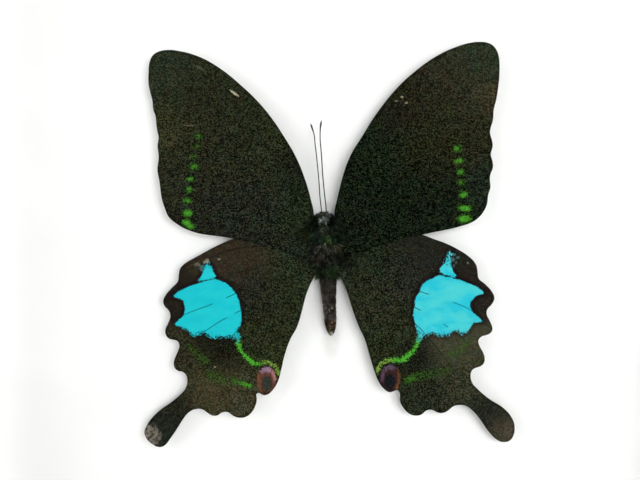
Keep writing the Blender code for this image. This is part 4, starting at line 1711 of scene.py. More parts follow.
LEFT_HINDWING = Hindwing(
    side=Side.LEFT,
    edge=LEFT_HINDWING_EDGE,
    root_height=4.15,
    droop=0.018,
    veins=(
        ((-6, -1), (-14, -0.8), (-22, -1.5), (-29, -4.2), (-35, -7.8)),
        ((-5, -3.5), (-12, -4.5), (-19, -6.5), (-26.2, -8.4), (-31.2, -9.6), (-35.5, -11.7),
         (-38.8, -13.9)),
        ((-20.4, -11.4), (-23.15, -12.7), (-27.95, -14.8), (-32.3, -16.4), (-35.35, -17.9), (-38.3, -20.6)),
        ((-19.4, -15.4), (-24.45, -18.1), (-27.3, -19.85), (-31.5, -23), (-36.3, -28.7)),
        ((-17.9, -17.2), (-20.6, -20.2), (-22.3, -21.9), (-28, -29), (-34.5, -37.5), (-41.5, -46)),
        ((-15.3, -18.4), (-19.5, -26), (-24, -34), (-27.3, -40.8)),
        ((-12.5, -15.6), (-15.8, -25), (-18.8, -34), (-20.8, -41.3)),
        ((-5.2, -6), (-10, -17), (-12.6, -28), (-14.6, -35.6)),
        ((-19, -6.5), (-20.4, -11.4), (-19.4, -15.4), (-17.9, -17.2), (-15.3, -18.4), (-12.5, -15.6),
         (-5.6, -5.4)),
    ),
    washes=(
        Wash((-26, -3.5), 6.5, (44, 37, 29), (54, 47, 37)),
        Wash((-36, -11), 4, (28, 22, 21), (40, 33, 29)),
        Wash((-18, -4), 5, (38, 33, 24), (58, 53, 41)),
        Wash((-17.5, -11.5), 4.5, (11, 11, 9), (49, 48, 43)),
        Wash((-10, -6), 4.5, (13, 17, 10), (51, 61, 43)),
        Wash((-12, -17), 7, (14, 15, 8), (52, 58, 38)),
        Wash((-13, -26), 5, (16, 18, 8), (58, 63, 41)),
        Wash((-26, -26.5), 4.2, (9, 9, 6), (31, 32, 24)),
        Wash((-35, -27), 4, (22, 21, 14), (61, 59, 42)),
        Wash((-27, -35), 6, (45, 41, 26), (74, 72, 50)),
        Wash((-19.5, -37.5), 4.5, (35, 33, 23), (79, 77, 58)),
        Wash((-36.5, -40.5), 4.5, (18, 19, 14), (42, 44, 36)),
        Wash((-40, -45), 4, (24, 26, 22), (44, 46, 41)),
    ),
    patch=(
        (-26.3, -8.7), (-25.5, -8.95), (-24.45, -9.3), (-23.6, -9.9), (-22.75, -10.6), (-22.1, -11.4),
        (-21.45, -12.4), (-21, -13.45), (-20.6, -14.75), (-20.4, -16.3), (-20.3, -17.8), (-20.5, -19.1),
        (-20.95, -20.4), (-21.05, -21.7), (-21.9, -22.55), (-23, -22.6), (-24.3, -22.7), (-25.6, -22.5),
        (-27.1, -22.5), (-28.4, -22.05), (-29.25, -21.5), (-30.55, -21.85), (-31.85, -22.3),
        (-32.6, -21.85), (-33.15, -21), (-33.8, -20.45), (-34.9, -20.1), (-36.3, -19.55), (-35.75, -18.8),
        (-34.7, -17.8), (-34.05, -17.2), (-33.8, -15.45), (-34.1, -14.35), (-34.65, -13.4), (-36.5, -12.95),
        (-36.15, -12.3), (-35.1, -11.4), (-33.8, -10.8), (-32.25, -10.15), (-30.5, -9.6), (-28.8, -9.05),
        (-27.25, -8.7),
    ),
    tooth=(
        (-26.4, -7.75), (-27.1, -6.8), (-27.4, -5.7), (-28.1, -4.8), (-29, -5.2), (-29.35, -6.6),
        (-29.85, -7.9), (-30.7, -8.85), (-29.6, -8.95), (-27.9, -8.5), (-26.4, -8.2),
    ),
    band=(
        (-21.15, -22.15, 1.2), (-21.15, -23.4, 1), (-20.8, -24.65, 0.8), (-20.3, -25.75, 0.75),
        (-19.3, -26.9, 0.75), (-18.3, -27.85, 0.95), (-17.3, -28.5, 1.15), (-16.3, -28.65, 0.75),
        (-15.3, -28.45, 0.6), (-14.15, -28.3, 0.6), (-13.05, -28.6, 0.6), (-12.2, -29.4, 0.6),
        (-11.75, -30.2, 0.6), (-11.6, -30.9, 0.4),
    ),
    eyespot=Eyespot((-14.2, -32.45), (0.45, 1.0), (-16.4, -35.5), Side.LEFT),
    sunk=(((-25.5, -13.6), 1.3), ((-22.9, -17.2), 0.8)),
    ticks=(
        Tick((-28.6, -4.3), (0.8, 0.65), 35, 0.42),
        Tick((-25.6, -3.9), (0.4, 0.3), 0, 0.3),
        Tick((-30.8, -5.1), (0.8, 0.5), 20, 0.22),
        Tick((-29.4, -6), (0.9, 1), 30, 0.4, ASH),
        Tick((-26.6, -29.6), (0.3, 0.25), 0, 0.4),
    ),
    streaks=(
        ((-28, -31.4), (-24.5, -32.6), 1.3, 0.36),
        ((-22.3, -32.6), (-20.2, -33.4), 0.8, 0.5),
        ((-20, -33.4), (-18.2, -33.9), 0.6, 0.85),
        ((-32.6, -24.6), (-31.6, -26), 0.8, 0.36),
        ((-30.5, -27), (-28.6, -28.4), 1.1, 0.34),
    ),
    tail_tip=(-42.6, -46.2),
    tail_greying=1.0,
)

RIGHT_HINDWING = Hindwing(
    side=Side.RIGHT,
    edge=RIGHT_HINDWING_EDGE,
    root_height=4.15,
    droop=0.018,
    veins=(
        ((5.5, -0.6), (13.5, 0.2), (22, -0.4), (29, -3), (34.9, -6.6)),
        ((4.5, -3), (12, -3.4), (19, -5.4), (26.1, -7.2), (31.9, -8.75), (35.6, -10.6), (38.8, -12.7)),
        ((20.2, -10.6), (22.6, -11.6), (27.6, -13.2), (32.4, -15), (34.9, -16.7), (38.4, -19.9)),
        ((19.4, -14.4), (24.2, -17), (27.2, -18.9), (31.6, -22.2), (36.6, -27.4)),
        ((18.2, -16.4), (21, -19.25), (22.9, -21.15), (28.6, -28.2), (35, -36.2), (41.6, -43.8)),
        ((15.6, -17.6), (19.6, -25), (24.2, -33), (27, -39.5)),
        ((12.8, -14.8), (16, -24), (19, -33), (20.9, -40.3)),
        ((4.8, -5.6), (10, -16.4), (12.8, -27.2), (14.8, -34.6)),
        ((19, -5.4), (20.2, -10.6), (19.4, -14.4), (18.2, -16.4), (15.6, -17.6), (12.8, -14.8),
         (5.2, -5)),
    ),
    washes=(
        Wash((26, -2.5), 6.5, (28, 27, 23), (41, 40, 35)),
        Wash((36, -10), 4, (30, 24, 22), (46, 39, 34)),
        Wash((17.5, -8.5), 4.5, (9, 11, 9), (48, 52, 45)),
        Wash((9, -4), 5.5, (9, 12, 6), (44, 52, 37)),
        Wash((11, -15), 7, (16, 17, 11), (55, 58, 42)),
        Wash((13.5, -24), 5.5, (11, 13, 6), (51, 58, 37)),
        Wash((29.5, -25), 4.6, (56, 55, 41), (70, 69, 53)),
        Wash((21.3, -27.6), 3.6, (8, 7, 7), (27, 25, 23)),
        Wash((25, -34.5), 6, (13, 14, 9), (52, 55, 42)),
        Wash((20, -37), 4, (12, 14, 9), (50, 58, 42)),
        Wash((33, -32.5), 4.5, (29, 30, 20), (72, 75, 54)),
        Wash((37.5, -39.5), 4, (22, 24, 19), (44, 46, 40)),
        Wash((41.5, -44), 3, (52, 49, 38), (76, 71, 58)),
    ),
    patch=(
        (26.25, -7.5), (27.7, -7.8), (29.4, -8.25), (31.1, -8.65), (32.8, -9.3), (34.25, -9.8),
        (35.5, -10.45), (36.35, -11.2), (36.55, -11.85), (35, -12.25), (34.35, -13), (33.65, -13.7),
        (33.5, -14.6), (33.75, -15.65), (34.25, -16.25), (35.2, -17.1), (35.95, -17.85), (36.25, -18.4),
        (34.6, -18.6), (33.85, -19.25), (33.4, -20), (32.9, -20.7), (32.15, -21.25), (31.3, -21.05),
        (30.5, -20.5), (29.85, -20.6), (29, -21.25), (27.75, -21.65), (26.25, -21.7), (25, -21.25),
        (23.95, -21.45), (22.9, -21.8), (22.05, -22.1), (20.9, -19.75), (20.5, -18.3), (20.25, -16.8),
        (20.5, -15.1), (20.6, -13.65), (21.05, -12.4), (21.7, -11.3), (22.05, -10.2), (22.75, -9.4),
        (23.75, -8.7), (24.95, -8.15), (25.9, -7.6),
    ),
    tooth=(
        (26.4, -6.75), (26.55, -5.85), (27.3, -4.7), (27.8, -3.4), (28.25, -2.4), (28.65, -2.05),
        (29.4, -2.2), (29, -3), (28.8, -4.25), (29.15, -5.75), (29.65, -6.8), (30.3, -7.75), (29.05, -7.65),
        (27.5, -7.2),
    ),
    band=(
        (21.95, -21.85, 1.2), (21.45, -23.1, 0.9), (20.7, -24.5, 0.75), (19.95, -25.6, 0.75),
        (18.95, -26.6, 0.95), (17.85, -27.35, 1.25), (16.65, -27.55, 0.85), (15.4, -27.5, 0.6),
        (14.2, -27.6, 0.6), (13.1, -28.1, 0.6), (12.35, -28.85, 0.55), (12, -29.85, 0.5),
        (11.8, -30.45, 0.4),
    ),
    eyespot=Eyespot((14.8, -31.75), (-0.7, 1.0), (17.0, -34.2), Side.RIGHT),
    sunk=(((26.5, -13.2), 2.2), ((24.5, -17.4), 2.4), ((29.0, -20.3), 0.6)),
    colours=ScaleColours(
        # Turquoise paler and greyer than the left patch's: painted glare on the right patch
        patch=paint(42, 194, 213),
        patch_pale_and_glare=paint(76, 207, 212),
        lilac=paint(86, 72, 88),
        blush=paint(84, 62, 78),
        russet=paint(53, 34, 31),
        pupil=paint(22, 25, 28),
        orange=paint(138, 90, 54),
    ),
    ticks=(
        Tick((29.7, -2.7), (0.5, 0.35), 20, 0.36, ASH),
        Tick((30.5, -3.4), (0.6, 0.35), 10, 0.28, ASH),
        Tick((29.5, -3.9), (0.4, 0.6), 0, 0.36, ASH),
        Tick((30.2, -4.6), (0.45, 0.35), 30, 0.22, ASH),
        Tick((29.7, -5.3), (0.3, 0.5), 0, 0.24, ASH),
        Tick((32.9, -4.6), (0.3, 0.3), 0, 0.3),
    ),
    streaks=(
        ((18.8, -32.4), (20.6, -31.6), 0.9, 0.5),
        ((20.6, -31.5), (22.8, -30.9), 1, 0.38),
        ((23.5, -31.2), (28.5, -29.6), 1.1, 0.3),
        ((29, -26.4), (32.8, -23.4), 1.3, 0.3),
    ),
    tail_tip=(42.6, -44.6),
    tail_greying=0.45,
)


# Body


@dataclass(frozen=True)
class Tuft:
    """A patch of hair of one colour: where on the board, how wide, and its colour."""

    centre: Point
    radius: float
    colour: Shown


@dataclass(frozen=True)
class Coat:
    """The hair on one stretch of the body, in millimetres: from and to, how many, the least and greatest
    length, how far it stands off, how thick it is, and its colours.
    """

    name: str
    span: Point
    count: int
    lengths: Point
    stand: float
    radius: float
    tufts: tuple[Tuft, ...]


@dataclass
class Body:
    """Head, thorax and abdomen, with eyes and fur. Sizes are in millimetres."""

    coats: tuple[Coat, ...]
    # Place along the body, half width, height of the middle over the board, half height
    sections: tuple[tuple[float, float, float, float], ...] = (
        (7.3, 0.7, 3.3, 0.6), (6.9, 1.35, 3.3, 1.15), (6.2, 1.8, 3.35, 1.6), (5.4, 1.85, 3.35, 1.7),
        (4.7, 1.5, 3.2, 1.45), (4.2, 1.5, 3.2, 1.5), (3.5, 2.2, 3.35, 2.2), (2.4, 3, 3.55, 2.85),
        (1, 3.35, 3.65, 3.15), (-1, 3.45, 3.65, 3.25), (-3, 3.1, 3.5, 3.05), (-4.5, 2.5, 3.2, 2.55),
        (-5.6, 2.05, 2.95, 2.15), (-6.6, 2.1, 2.85, 2.15), (-7.7, 2.1, 2.75, 2.1),
        (-7.95, 1.96, 2.75, 1.96), (-8.3, 2.02, 2.7, 2.05), (-9.9, 1.86, 2.6, 1.95),
        (-10.15, 1.7, 2.6, 1.8), (-10.5, 1.78, 2.55, 1.9), (-12.1, 1.64, 2.45, 1.8),
        (-12.35, 1.49, 2.45, 1.65), (-12.7, 1.57, 2.4, 1.75), (-14.3, 1.48, 2.3, 1.68),
        (-14.55, 1.34, 2.3, 1.54), (-14.9, 1.42, 2.25, 1.63), (-16.5, 1.43, 2.15, 1.57),
        (-16.75, 1.28, 2.15, 1.43), (-17.1, 1.36, 2.1, 1.52), (-18.5, 1.34, 2, 1.4), (-18.75, 1.2, 2, 1.26),
        (-19.1, 1.26, 1.95, 1.33), (-20.2, 1.02, 1.85, 1.1), (-21.1, 0.68, 1.75, 0.75),
        (-21.9, 0.2, 1.7, 0.25),
    )
    # The middle line leans to the left as it goes up, and passes through the pivot
    lean: float = 0.0571
    pivot: Point = (-0.65, 6.0)
    sides: int = 40
    eye_radius: float = 1.05
    eye_spread: float = 1.5
    eye_along: float = 5.9
    eye_height: float = 3.35
    eye_stretch: tuple[float, float, float] = (0.85, 1.0, 1.12)
    seed: int = 7
    # How far round the sides the hair grows below the widest place, in radians
    fur_overlap: float = 0.35
    fur_scatter: float = 0.28
    # Hair over the roots of the wings: how many, from and to, and its least and greatest length
    base_count: int = 5200
    base_span: Point = (-5.4, 6.0)
    base_lengths: Point = (0.6, 1.7)
    base_radius: float = 0.04
    base_scatter: float = 0.35

    def middle(self, along: float | Rows) -> float | Rows:
        """x of the middle line at a place along the body."""
        return self.pivot[0] - self.lean * (along - self.pivot[1])

    def build(self) -> None:
        """Builds and dresses the body, eyes and fur."""
        shell = Chitin("body_shell", paint(16, 15, 12), paint(44, 40, 34)).build()
        fur = Fur().build()
        finish_piece(self._shell(), shell, "insect_body", "body")
        eyes = {
            Side.LEFT: CompoundEye("eye_purple", paint(34, 18, 24), paint(60, 38, 46)),
            Side.RIGHT: CompoundEye("eye_blue_black", paint(16, 20, 26), paint(34, 40, 48)),
        }
        for side, finish in eyes.items():
            finish_piece(self._eye(side), finish.build(), "insect_body")
        for coat in self.coats:
            finish_piece(self._fur(coat), fur, "insect_body")
        finish_piece(self._wing_base_fur(), fur, "insect_body")

    def _shell(self) -> Piece:
        """The body's skin, lofted over its sections.

        Returns:
            The skin.
        """
        turns = np.arange(self.sides) * 2 * np.pi / self.sides
        vertices, edges = [], []
        rings = along_knots(np.array(self.sections), 2, closed=False)
        for ring, (along, half_width, height, half_height) in enumerate(rings):
            for turn in turns:
                x = self.middle(along) + half_width * np.cos(turn)
                vertices.append(on_board(x, along, height + half_height * np.sin(turn)))
            first = ring * self.sides
            edges += [(first + side, first + (side + 1) % self.sides) for side in range(self.sides)]
        body = link_mesh("insect_body", np.array(vertices), edges, [])
        with editing(body):
            bpy.ops.mesh.bridge_edge_loops()
            bpy.ops.mesh.select_all(action="DESELECT")
            bpy.ops.mesh.select_non_manifold()
            bpy.ops.mesh.fill()
        face_outwards(body)
        smooth_by_angle(body, 70)
        return body

    def _eye(self, side: Side) -> Piece:
        """One large compound eye on the side of the head.

        Args:
            side: The side.

        Returns:
            The eye.
        """
        deselect()
        x = self.middle(self.eye_along) + side.value * self.eye_spread
        bpy.ops.mesh.primitive_uv_sphere_add(
            segments=32,
            ring_count=18,
            radius=self.eye_radius * MM,
            location=on_board(x, self.eye_along, self.eye_height),
        )
        eye = bpy.context.view_layer.objects.active
        eye.name = f"eye_{side.name.lower()}"
        eye.scale = self.eye_stretch
        settle(eye)
        smooth_by_angle(eye, 60)
        return eye

    def _fur(self, coat: Coat) -> Piece:
        """Hair over part of the body, combed backwards, in clumps.

        Args:
            coat: The hair's place, length and colours.

        Returns:
            The hairs as one mesh.
        """
        random = np.random.default_rng(self.seed + coat.count)
        along = random.uniform(*coat.span, coat.count)
        turn = random.uniform(-self.fur_overlap, np.pi + self.fur_overlap, coat.count)
        half_width, height, half_height = (self._section(along, column) for column in (1, 2, 3))
        outwards = np.column_stack([np.cos(turn), np.zeros(coat.count), np.sin(turn)])
        # The roots lie a little under the skin
        x = self.middle(along) + half_width * 0.97 * outwards[:, 0]
        root = np.column_stack([x, along, height + half_height * 0.97 * outwards[:, 2]])
        clump = np.column_stack([np.sin(x * 5.1 + along * 2.3), 0 * along, np.cos(along * 4.3)]) * 0.35
        comb = outwards * coat.stand + np.array([0.0, -0.7, 0.0]) + clump * coat.stand
        comb = self._scattered(comb, self.fur_scatter, random)
        length = random.uniform(*coat.lengths, coat.count)
        return hairs(coat.name, root, comb, length, coat.radius, tuft_hues(root[:, :2], coat.tufts, random))

    def _section(self, along: Rows, column: int) -> Rows:
        """One measure of the body at places along it, by its column in the sections."""
        table = np.array(self.sections)[::-1]
        return np.interp(along, table[:, 0], table[:, column])

    def _scattered(self, comb: Rows, scatter: float, random: np.random.Generator) -> Rows:
        """Directions of length one, each turned a little by chance."""
        comb = comb + random.normal(0, scatter, comb.shape)
        return comb / np.linalg.norm(comb, axis=1)[:, None]

    def _wing_base_fur(self) -> Piece:
        """Hair that lies over the roots of the wings and hides where they join the thorax.

        Returns:
            The hairs as one mesh.
        """
        random = np.random.default_rng(self.seed)
        count = self.base_count
        side = np.where(np.arange(count) % 2 == 0, -1.0, 1.0)
        along = random.uniform(*self.base_span, count)
        reach = random.exponential(1.2, count).clip(0, np.interp(along, (3.5, 4.5), (4.5, 1.0)))
        x = self.middle(along) + side * (self._section(along, 1) * 0.8 + reach)
        # The forewings' roots lie higher than the hindwings'
        surface = np.where(along > 0.3, 5.0, 4.2) - 0.02 * np.abs(x)
        lift = np.exp(-reach / 0.9) * 1.3
        root = np.column_stack([x, along, surface + 0.05 + lift])
        comb = np.column_stack([side * 0.7, np.interp(along, self.base_span, (-0.9, 0.4)), 0.3 - 0.1 * lift])
        comb = self._scattered(comb, self.base_scatter, random)
        length = random.uniform(*self.base_lengths, count)
        hues = tuft_hues(root[:, :2], self.coats[0].tufts, random)
        return hairs("fur_wing_bases", root, comb, length, self.base_radius, hues)


def tuft_hues(places: Rows, tufts: tuple[Tuft, ...], random: np.random.Generator) -> Rows:
    """Each hair's colour, picked from the tufts near it and lighter or darker by chance.

    Args:
        places: x and up of each hair.
        tufts: The tufts, the first of them everywhere.
        random: The source of chance.

    Returns:
        One colour a row.
    """
    weights = [np.full(len(places), 0.35)]
    weights += [fall_off(gap_to(places, tuft.centre), tuft.radius) for tuft in tufts[1:]]
    steps = np.cumsum(np.stack(weights), 0)
    pick = random.uniform(0, 1, len(places)) * steps[-1]
    choice = (pick > steps).sum(0)
    # Hairs that stand together share one lightness, so that the coat looks clumped from afar
    cell = np.floor(places / CLUMP)
    shared = np.modf(np.abs(np.sin(cell[:, 0] * 12.9898 + cell[:, 1] * 78.233)) * 43758.5453)[0]
    lightness = (0.15 + 3.2 * shared**3) * random.uniform(0.6, 1.4, len(places))
    return np.array([paint(*tuft.colour) for tuft in tufts])[choice] * lightness[:, None]


# A hair has two rings of three corners and a tip, and sinks towards the board by these shares of its length
HAIR_TURNS = (0.0, 2.094, 4.189)
HAIR_FACES = ((0, 2, 1), (0, 1, 4, 3), (1, 2, 5, 4), (2, 0, 3, 5), (3, 4, 6), (4, 5, 6), (5, 3, 6))
HAIR_SAG = 0.18
HAIR_TIP_SAG = 0.3


def hairs(
    name: str, root: Rows, direction: Rows, length: Rows, radius: float, hue: Rows
) -> Piece:
    """Three-sided hairs that curve towards the board, as one mesh.

    Args:
        name: The object's name.
        root: Where each hair starts: x, up and height in millimetres.
        direction: Which way each hair grows.
        length: Each hair's length in millimetres.
        radius: The radius at the root in millimetres.
        hue: Each hair's colour, stored on its vertices.

    Returns:
        The mesh object.
    """
    aside = np.cross(direction, np.array([0.3, 0.2, 0.93]))
    aside /= np.linalg.norm(aside, axis=1)[:, None] + 1e-9
    other = np.cross(direction, aside)
    rings = []
    for share, width in ((0.0, 1.0), (0.55, 0.75)):
        sag = np.array([0, 0, HAIR_SAG]) * (length * share**2)[:, None]
        centre = root + direction * (length * share)[:, None] - sag
        for turn in HAIR_TURNS:
            rings.append(centre + radius * width * (aside * math.cos(turn) + other * math.sin(turn)))
    tip = root + direction * length[:, None] - np.array([0, 0, HAIR_TIP_SAG]) * length[:, None]
    points = np.stack([*rings, tip], 1)
    corners = points.shape[1]
    points = points.reshape(-1, 3)
    faces = [
        tuple(corners * hair + corner for corner in face)
        for hair in range(len(root))
        for face in HAIR_FACES
    ]
    obj = link_mesh(name, board_rows(*points.T), [], faces)
    store(obj, "hue", np.repeat(hue, corners, 0))
    face_outwards(obj)
    return obj


COATS = (
    Coat(
        "fur_thorax", (-7.9, 4.7), 11000, (0.5, 1.9), 0.62, 0.04,
        (
            Tuft((0, 0), 9, (23, 29, 20)),
            Tuft((0.5, 1.5), 0.9, (54, 84, 42)),
            Tuft((-0.6, 3.4), 0.6, (100, 124, 92)),
            Tuft((-2.3, 1.6), 0.8, (34, 62, 48)),
            Tuft((-4.4, 2), 0.9, (62, 68, 28)),
            Tuft((-3.4, -1.4), 1, (58, 56, 50)),
            Tuft((-0.5, -1), 0.9, (92, 90, 80)),
            Tuft((0.3, -3.2), 0.9, (62, 60, 56)),
            Tuft((2.3, -0.9), 0.6, (126, 116, 94)),
            Tuft((-1.8, -3.4), 0.8, (48, 32, 26)),
            Tuft((4.2, 0.6), 1.6, (28, 44, 26)),
            Tuft((-3.6, -4.6), 1.4, (44, 54, 34)),
            Tuft((1.2, -6.4), 1.1, (48, 70, 38)),
            Tuft((-0.8, -7.4), 0.9, (46, 62, 36)),
        ),
    ),
    Coat(
        "fur_head", (4.2, 7.4), 2400, (0.35, 0.9), 0.85, 0.028,
        (
            Tuft((0, 6), 9, (104, 114, 106)),
            Tuft((-1.9, 6.4), 0.7, (64, 120, 50)),
            Tuft((-0.9, 5.4), 0.7, (140, 148, 150)),
            Tuft((0.8, 5), 0.8, (24, 30, 38)),
            Tuft((-0.6, 4.5), 0.6, (116, 134, 104)),
        ),
    ),
    Coat(
        "scales_abdomen", (-21.9, -7.4), 9000, (0.2, 0.5), 0.3, 0.035,
        (
            Tuft((0, -14), 9, (63, 56, 51)),
            Tuft((-0.6, -17.6), 0.35, (150, 142, 126)),
            Tuft((1.2, -15), 0.3, (140, 130, 110)),
            Tuft((-0.9, -9.8), 0.4, (100, 98, 72)),
            Tuft((0.3, -8.8), 1.2, (54, 60, 38)),
            Tuft((1.1, -10.6), 0.4, (150, 142, 118)),
            Tuft((0.1, -15.8), 0.4, (156, 150, 134)),
            Tuft((-0.3, -13.6), 0.5, (96, 88, 84)),
            Tuft((1, -13), 0.5, (24, 20, 22)),
            Tuft((0, -11.6), 0.5, (30, 24, 28)),
            Tuft((0.9, -17.2), 0.6, (84, 72, 74)),
            Tuft((1.3, -19.4), 0.8, (116, 88, 58)),
            Tuft((0.1, -19), 0.5, (40, 32, 28)),
            Tuft((0.4, -20.7), 0.6, (100, 92, 60)),
            Tuft((0.9, -21.7), 0.5, (126, 124, 120)),
        ),
    ),
)


@dataclass
class Antenna:
    """One jointed antenna with its club. Sizes are in millimetres, places along it shares of its length."""

    side: Side
    # x, up and height over the board
    knots: tuple[tuple[float, float, float], ...]
    radius: float = 0.13
    club: float = 0.21
    club_start: float = 0.84
    club_full: float = 0.93
    tip_length: float = 0.03
    joints: int = 46
    joint_waist: float = 0.92

    def build(self, material: Material) -> None:
        """Builds and dresses the antenna.

        Args:
            material: Its material.
        """
        line = along_knots(np.array(self.knots), 12, closed=False)
        steps = np.linspace(0, 1, self.joints * 3)
        source = np.linspace(0, 1, len(line))
        path = [np.interp(steps, source, line[:, column]) for column in range(3)]
        swell = np.clip((steps - self.club_start) / (self.club_full - self.club_start), 0, 1)
        end = np.clip((1.0 - steps) / self.tip_length, 0.35, 1)
        radius = (self.radius + (self.club - self.radius) * swell**1.5) * end
        radius = radius * np.where(np.arange(len(steps)) % 3 == 0, self.joint_waist, 1.0)
        route = np.column_stack([board_rows(*path), radius * MM])
        name = f"antenna_{self.side.name.lower()}"
        finish_piece(tubes(f"jointed_{name}", [route]), material, "insect_body", name)


@dataclass
class Leg:
    """One folded leg: thigh, shin and foot, thicker at each joint. Sizes are in millimetres."""

    side: Side
    pair: str
    # Outward reach from the middle line, place along the body, height
    route: tuple[tuple[float, float, float], ...]
    radius: float = 0.165
    joint_bulge: float = 0.35
    foot_end: float = 0.6

    def build(self, body: Body, material: Material) -> None:
        """Builds and dresses the leg.

        Args:
            body: The body that it belongs to.
            material: Its material.
        """
        points = []
        for start, end in zip(np.array(self.route), np.array(self.route[1:])):
            for share in np.linspace(0, 1, 7)[:-1]:
                bulge = 1 + self.joint_bulge * math.cos(2 * math.pi * share)
                points.append((*(start + (end - start) * share), bulge))
        points.append((*self.route[-1], self.foot_end))
        taper = np.linspace(1.0, 0.5, len(points))
        rows = []
        for (out, along, height, bulge), thin in zip(points, taper):
            place = on_board(body.middle(along) + self.side.value * out, along, height)
            rows.append((*place, self.radius * thin * bulge * MM))
        name = f"leg_{self.pair}_{self.side.name.lower()}"
        finish_piece(tubes(f"jointed_{name}", [np.array(rows)]), material, "insect_body", name)


# Studio


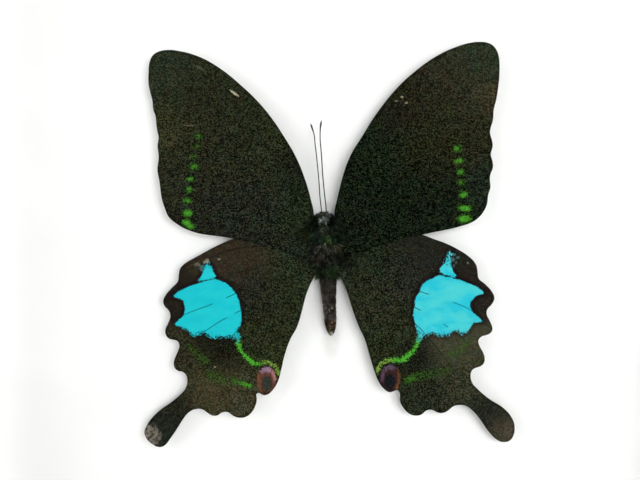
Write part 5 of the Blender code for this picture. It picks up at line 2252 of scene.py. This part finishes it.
@dataclass
class Studio:
    """Floor, soft light and the camera."""

    lens: float = 42.0
    sensor: float = 36.0
    # Where the camera stands and what it looks at, in millimetres from the middle of the frame
    eye: tuple[float, float, float] = (5.875, -175.854, 4.935)
    looking_at: tuple[float, float, float] = (-1.645, -0.6, 0.705)
    floor_width: float = 4.0
    # The tent's strength in front and behind, and where along y it starts and ends to change
    dim: float = 0.03
    bright: float = 0.45
    dim_until: float = -0.86
    bright_from: float = -0.6
    # Name, place and width in metres, and power in watts
    lamps: tuple[tuple[str, tuple[float, float, float], float, float], ...] = (
        ("lamp_left", (-0.62, -0.5, 0.2), 0.6, 2.4),
        ("lamp_right", (0.66, -0.5, 0.45), 0.6, 0.5),
        ("lamp_front", (0.24, -0.72, 0.12), 0.5, 6.3),
        ("lamp_back", (0.3, 0.9, 0.9), 0.8, 9.0),
    )

    def build(self) -> None:
        """Builds the floor, the lights and the camera."""
        self._floor()
        self._world()
        self._lamps()
        self._camera()

    def _floor(self) -> None:
        """A wide pale floor under the frame."""
        deselect()
        bpy.ops.mesh.primitive_grid_add(
            x_subdivisions=8, y_subdivisions=8, size=self.floor_width, location=(0, 0, 0)
        )
        floor = bpy.context.view_layer.objects.active
        floor.name = "floor"
        tree = ShaderTree("floor_paper")
        grain = tree.noise(3.0)
        tree.set(
            Base_Color=tree.mix(tree.spread(grain, 0.3, 0.7), (0.7, 0.7, 0.69), (0.74, 0.74, 0.73)),
            Roughness=0.9,
            Specular_IOR_Level=0.2,
        )
        floor.data.materials.append(tree.material)

    def _world(self) -> None:
        """An even pale tent of light, darker where the picture is taken from."""
        world = bpy.data.worlds.new("light_tent")
        bpy.context.scene.world = world
        world.use_nodes = True
        nodes, links = world.node_tree.nodes, world.node_tree.links
        back = nodes["Background"]
        coordinates = nodes.new("ShaderNodeTexCoord")
        split = nodes.new("ShaderNodeSeparateXYZ")
        links.new(coordinates.outputs["Generated"], split.inputs[0])
        strength = nodes.new("ShaderNodeMapRange")
        strength.interpolation_type = "SMOOTHSTEP"
        links.new(split.outputs["Y"], strength.inputs["Value"])
        limits = (self.dim_until, self.bright_from, self.dim, self.bright)
        for name, value in zip(("From Min", "From Max", "To Min", "To Max"), limits):
            strength.inputs[name].default_value = value
        path = nodes.new("ShaderNodeLightPath")
        seen = nodes.new("ShaderNodeMath")
        seen.operation = "MAXIMUM"
        links.new(strength.outputs[0], seen.inputs[0])
        links.new(path.outputs["Is Camera Ray"], seen.inputs[1])
        links.new(seen.outputs[0], back.inputs["Strength"])
        back.inputs["Color"].default_value = (1.0, 1.0, 1.0, 1.0)

    def _lamps(self) -> None:
        """Soft lamps at the left, at the right, in front and behind. Nothing mirrors the front one."""
        for name, place, size, power in self.lamps:
            data = bpy.data.lights.new(name, "AREA")
            data.size = size
            data.energy = power
            lamp = new_object(name, data)
            lamp.visible_glossy = name != "lamp_front"
            self._aim(lamp, Vector(place), Vector((0.0, 0.0, MIDDLE)))

    def _aim(self, obj: Piece, place: Vector, target: Vector) -> None:
        """Puts a lamp or the camera at a place and turns it to a target."""
        obj.location = place
        obj.rotation_euler = (target - place).to_track_quat("-Z", "Y").to_euler()

    def _camera(self) -> None:
        """The camera, a little right of and above the middle, looking slightly left and down."""
        data = bpy.data.cameras.new("camera")
        data.lens = self.lens
        data.sensor_width = self.sensor
        data.clip_start = 0.01
        camera = new_object("camera", data)
        middle = Vector((0.0, 0.0, MIDDLE))
        self._aim(camera, middle + Vector(self.eye) * MM, middle + Vector(self.looking_at) * MM)
        bpy.context.scene.camera = camera
        bpy.context.scene.view_settings.view_transform = "Standard"


# x, up and height over the board
LEFT_ANTENNA = (
    (-1.15, 6.1, 5.25), (-1.1, 7, 5.35), (-1.35, 8.5, 5.1), (-1.64, 11.05, 4.8), (-1.8, 13.6, 4.6),
    (-2.03, 16.3, 4.5), (-2.27, 18.65, 4.4), (-2.52, 21, 4.3), (-2.8, 23.35, 4.2), (-3, 25.3, 4.2),
    (-3.4, 26.65, 4.1), (-3.85, 28, 4.1),
)
RIGHT_ANTENNA = (
    (-0.2, 6.1, 5.25), (-0.12, 7.15, 5.35), (-0.27, 9.1, 5.1), (-0.55, 11.4, 4.8), (-0.82, 14, 4.6),
    (-1.05, 16.7, 4.5), (-1.21, 19.45, 4.4), (-1.39, 21.8, 4.3), (-1.58, 23.7, 4.2), (-1.62, 25.5, 4.2),
    (-1.54, 27.2, 4.1), (-1.3, 28.7, 4.1),
)

# Outward reach from the middle line, place along the body and height over the board
LEG_ROUTES = {
    "front": ((2.3, 2.7, 1.6), (5.2, 4.6, 2.4), (6.4, 5.6, 0.9), (7.6, 7.2, 0.6)),
    "middle": ((2.9, 0.2, 1.6), (6.2, 0.2, 2.5), (8.0, -0.6, 0.9), (10.2, -1.4, 0.6)),
    "hind": ((2.7, -2.0, 1.6), (5.6, -4.2, 2.4), (7.2, -6.4, 0.9), (8.6, -9.0, 0.6)),
}


def main() -> None:
    """Builds the studio, the frame and the insect."""
    Studio().build()
    BoxFrame().build()
    vein = Vein().build()
    for wing in (LEFT_HINDWING, RIGHT_HINDWING, LEFT_FOREWING, RIGHT_FOREWING):
        wing.build(vein)
    body = Body(coats=COATS)
    body.build()
    limb = Chitin("limb_shell", paint(26, 24, 22), paint(58, 54, 50)).build()
    Antenna(Side.LEFT, LEFT_ANTENNA).build(limb)
    Antenna(Side.RIGHT, RIGHT_ANTENNA).build(limb)
    for side in Side:
        for pair, route in LEG_ROUTES.items():
            Leg(side, pair, route).build(body, limb)


if __name__ == "__main__":
    main()
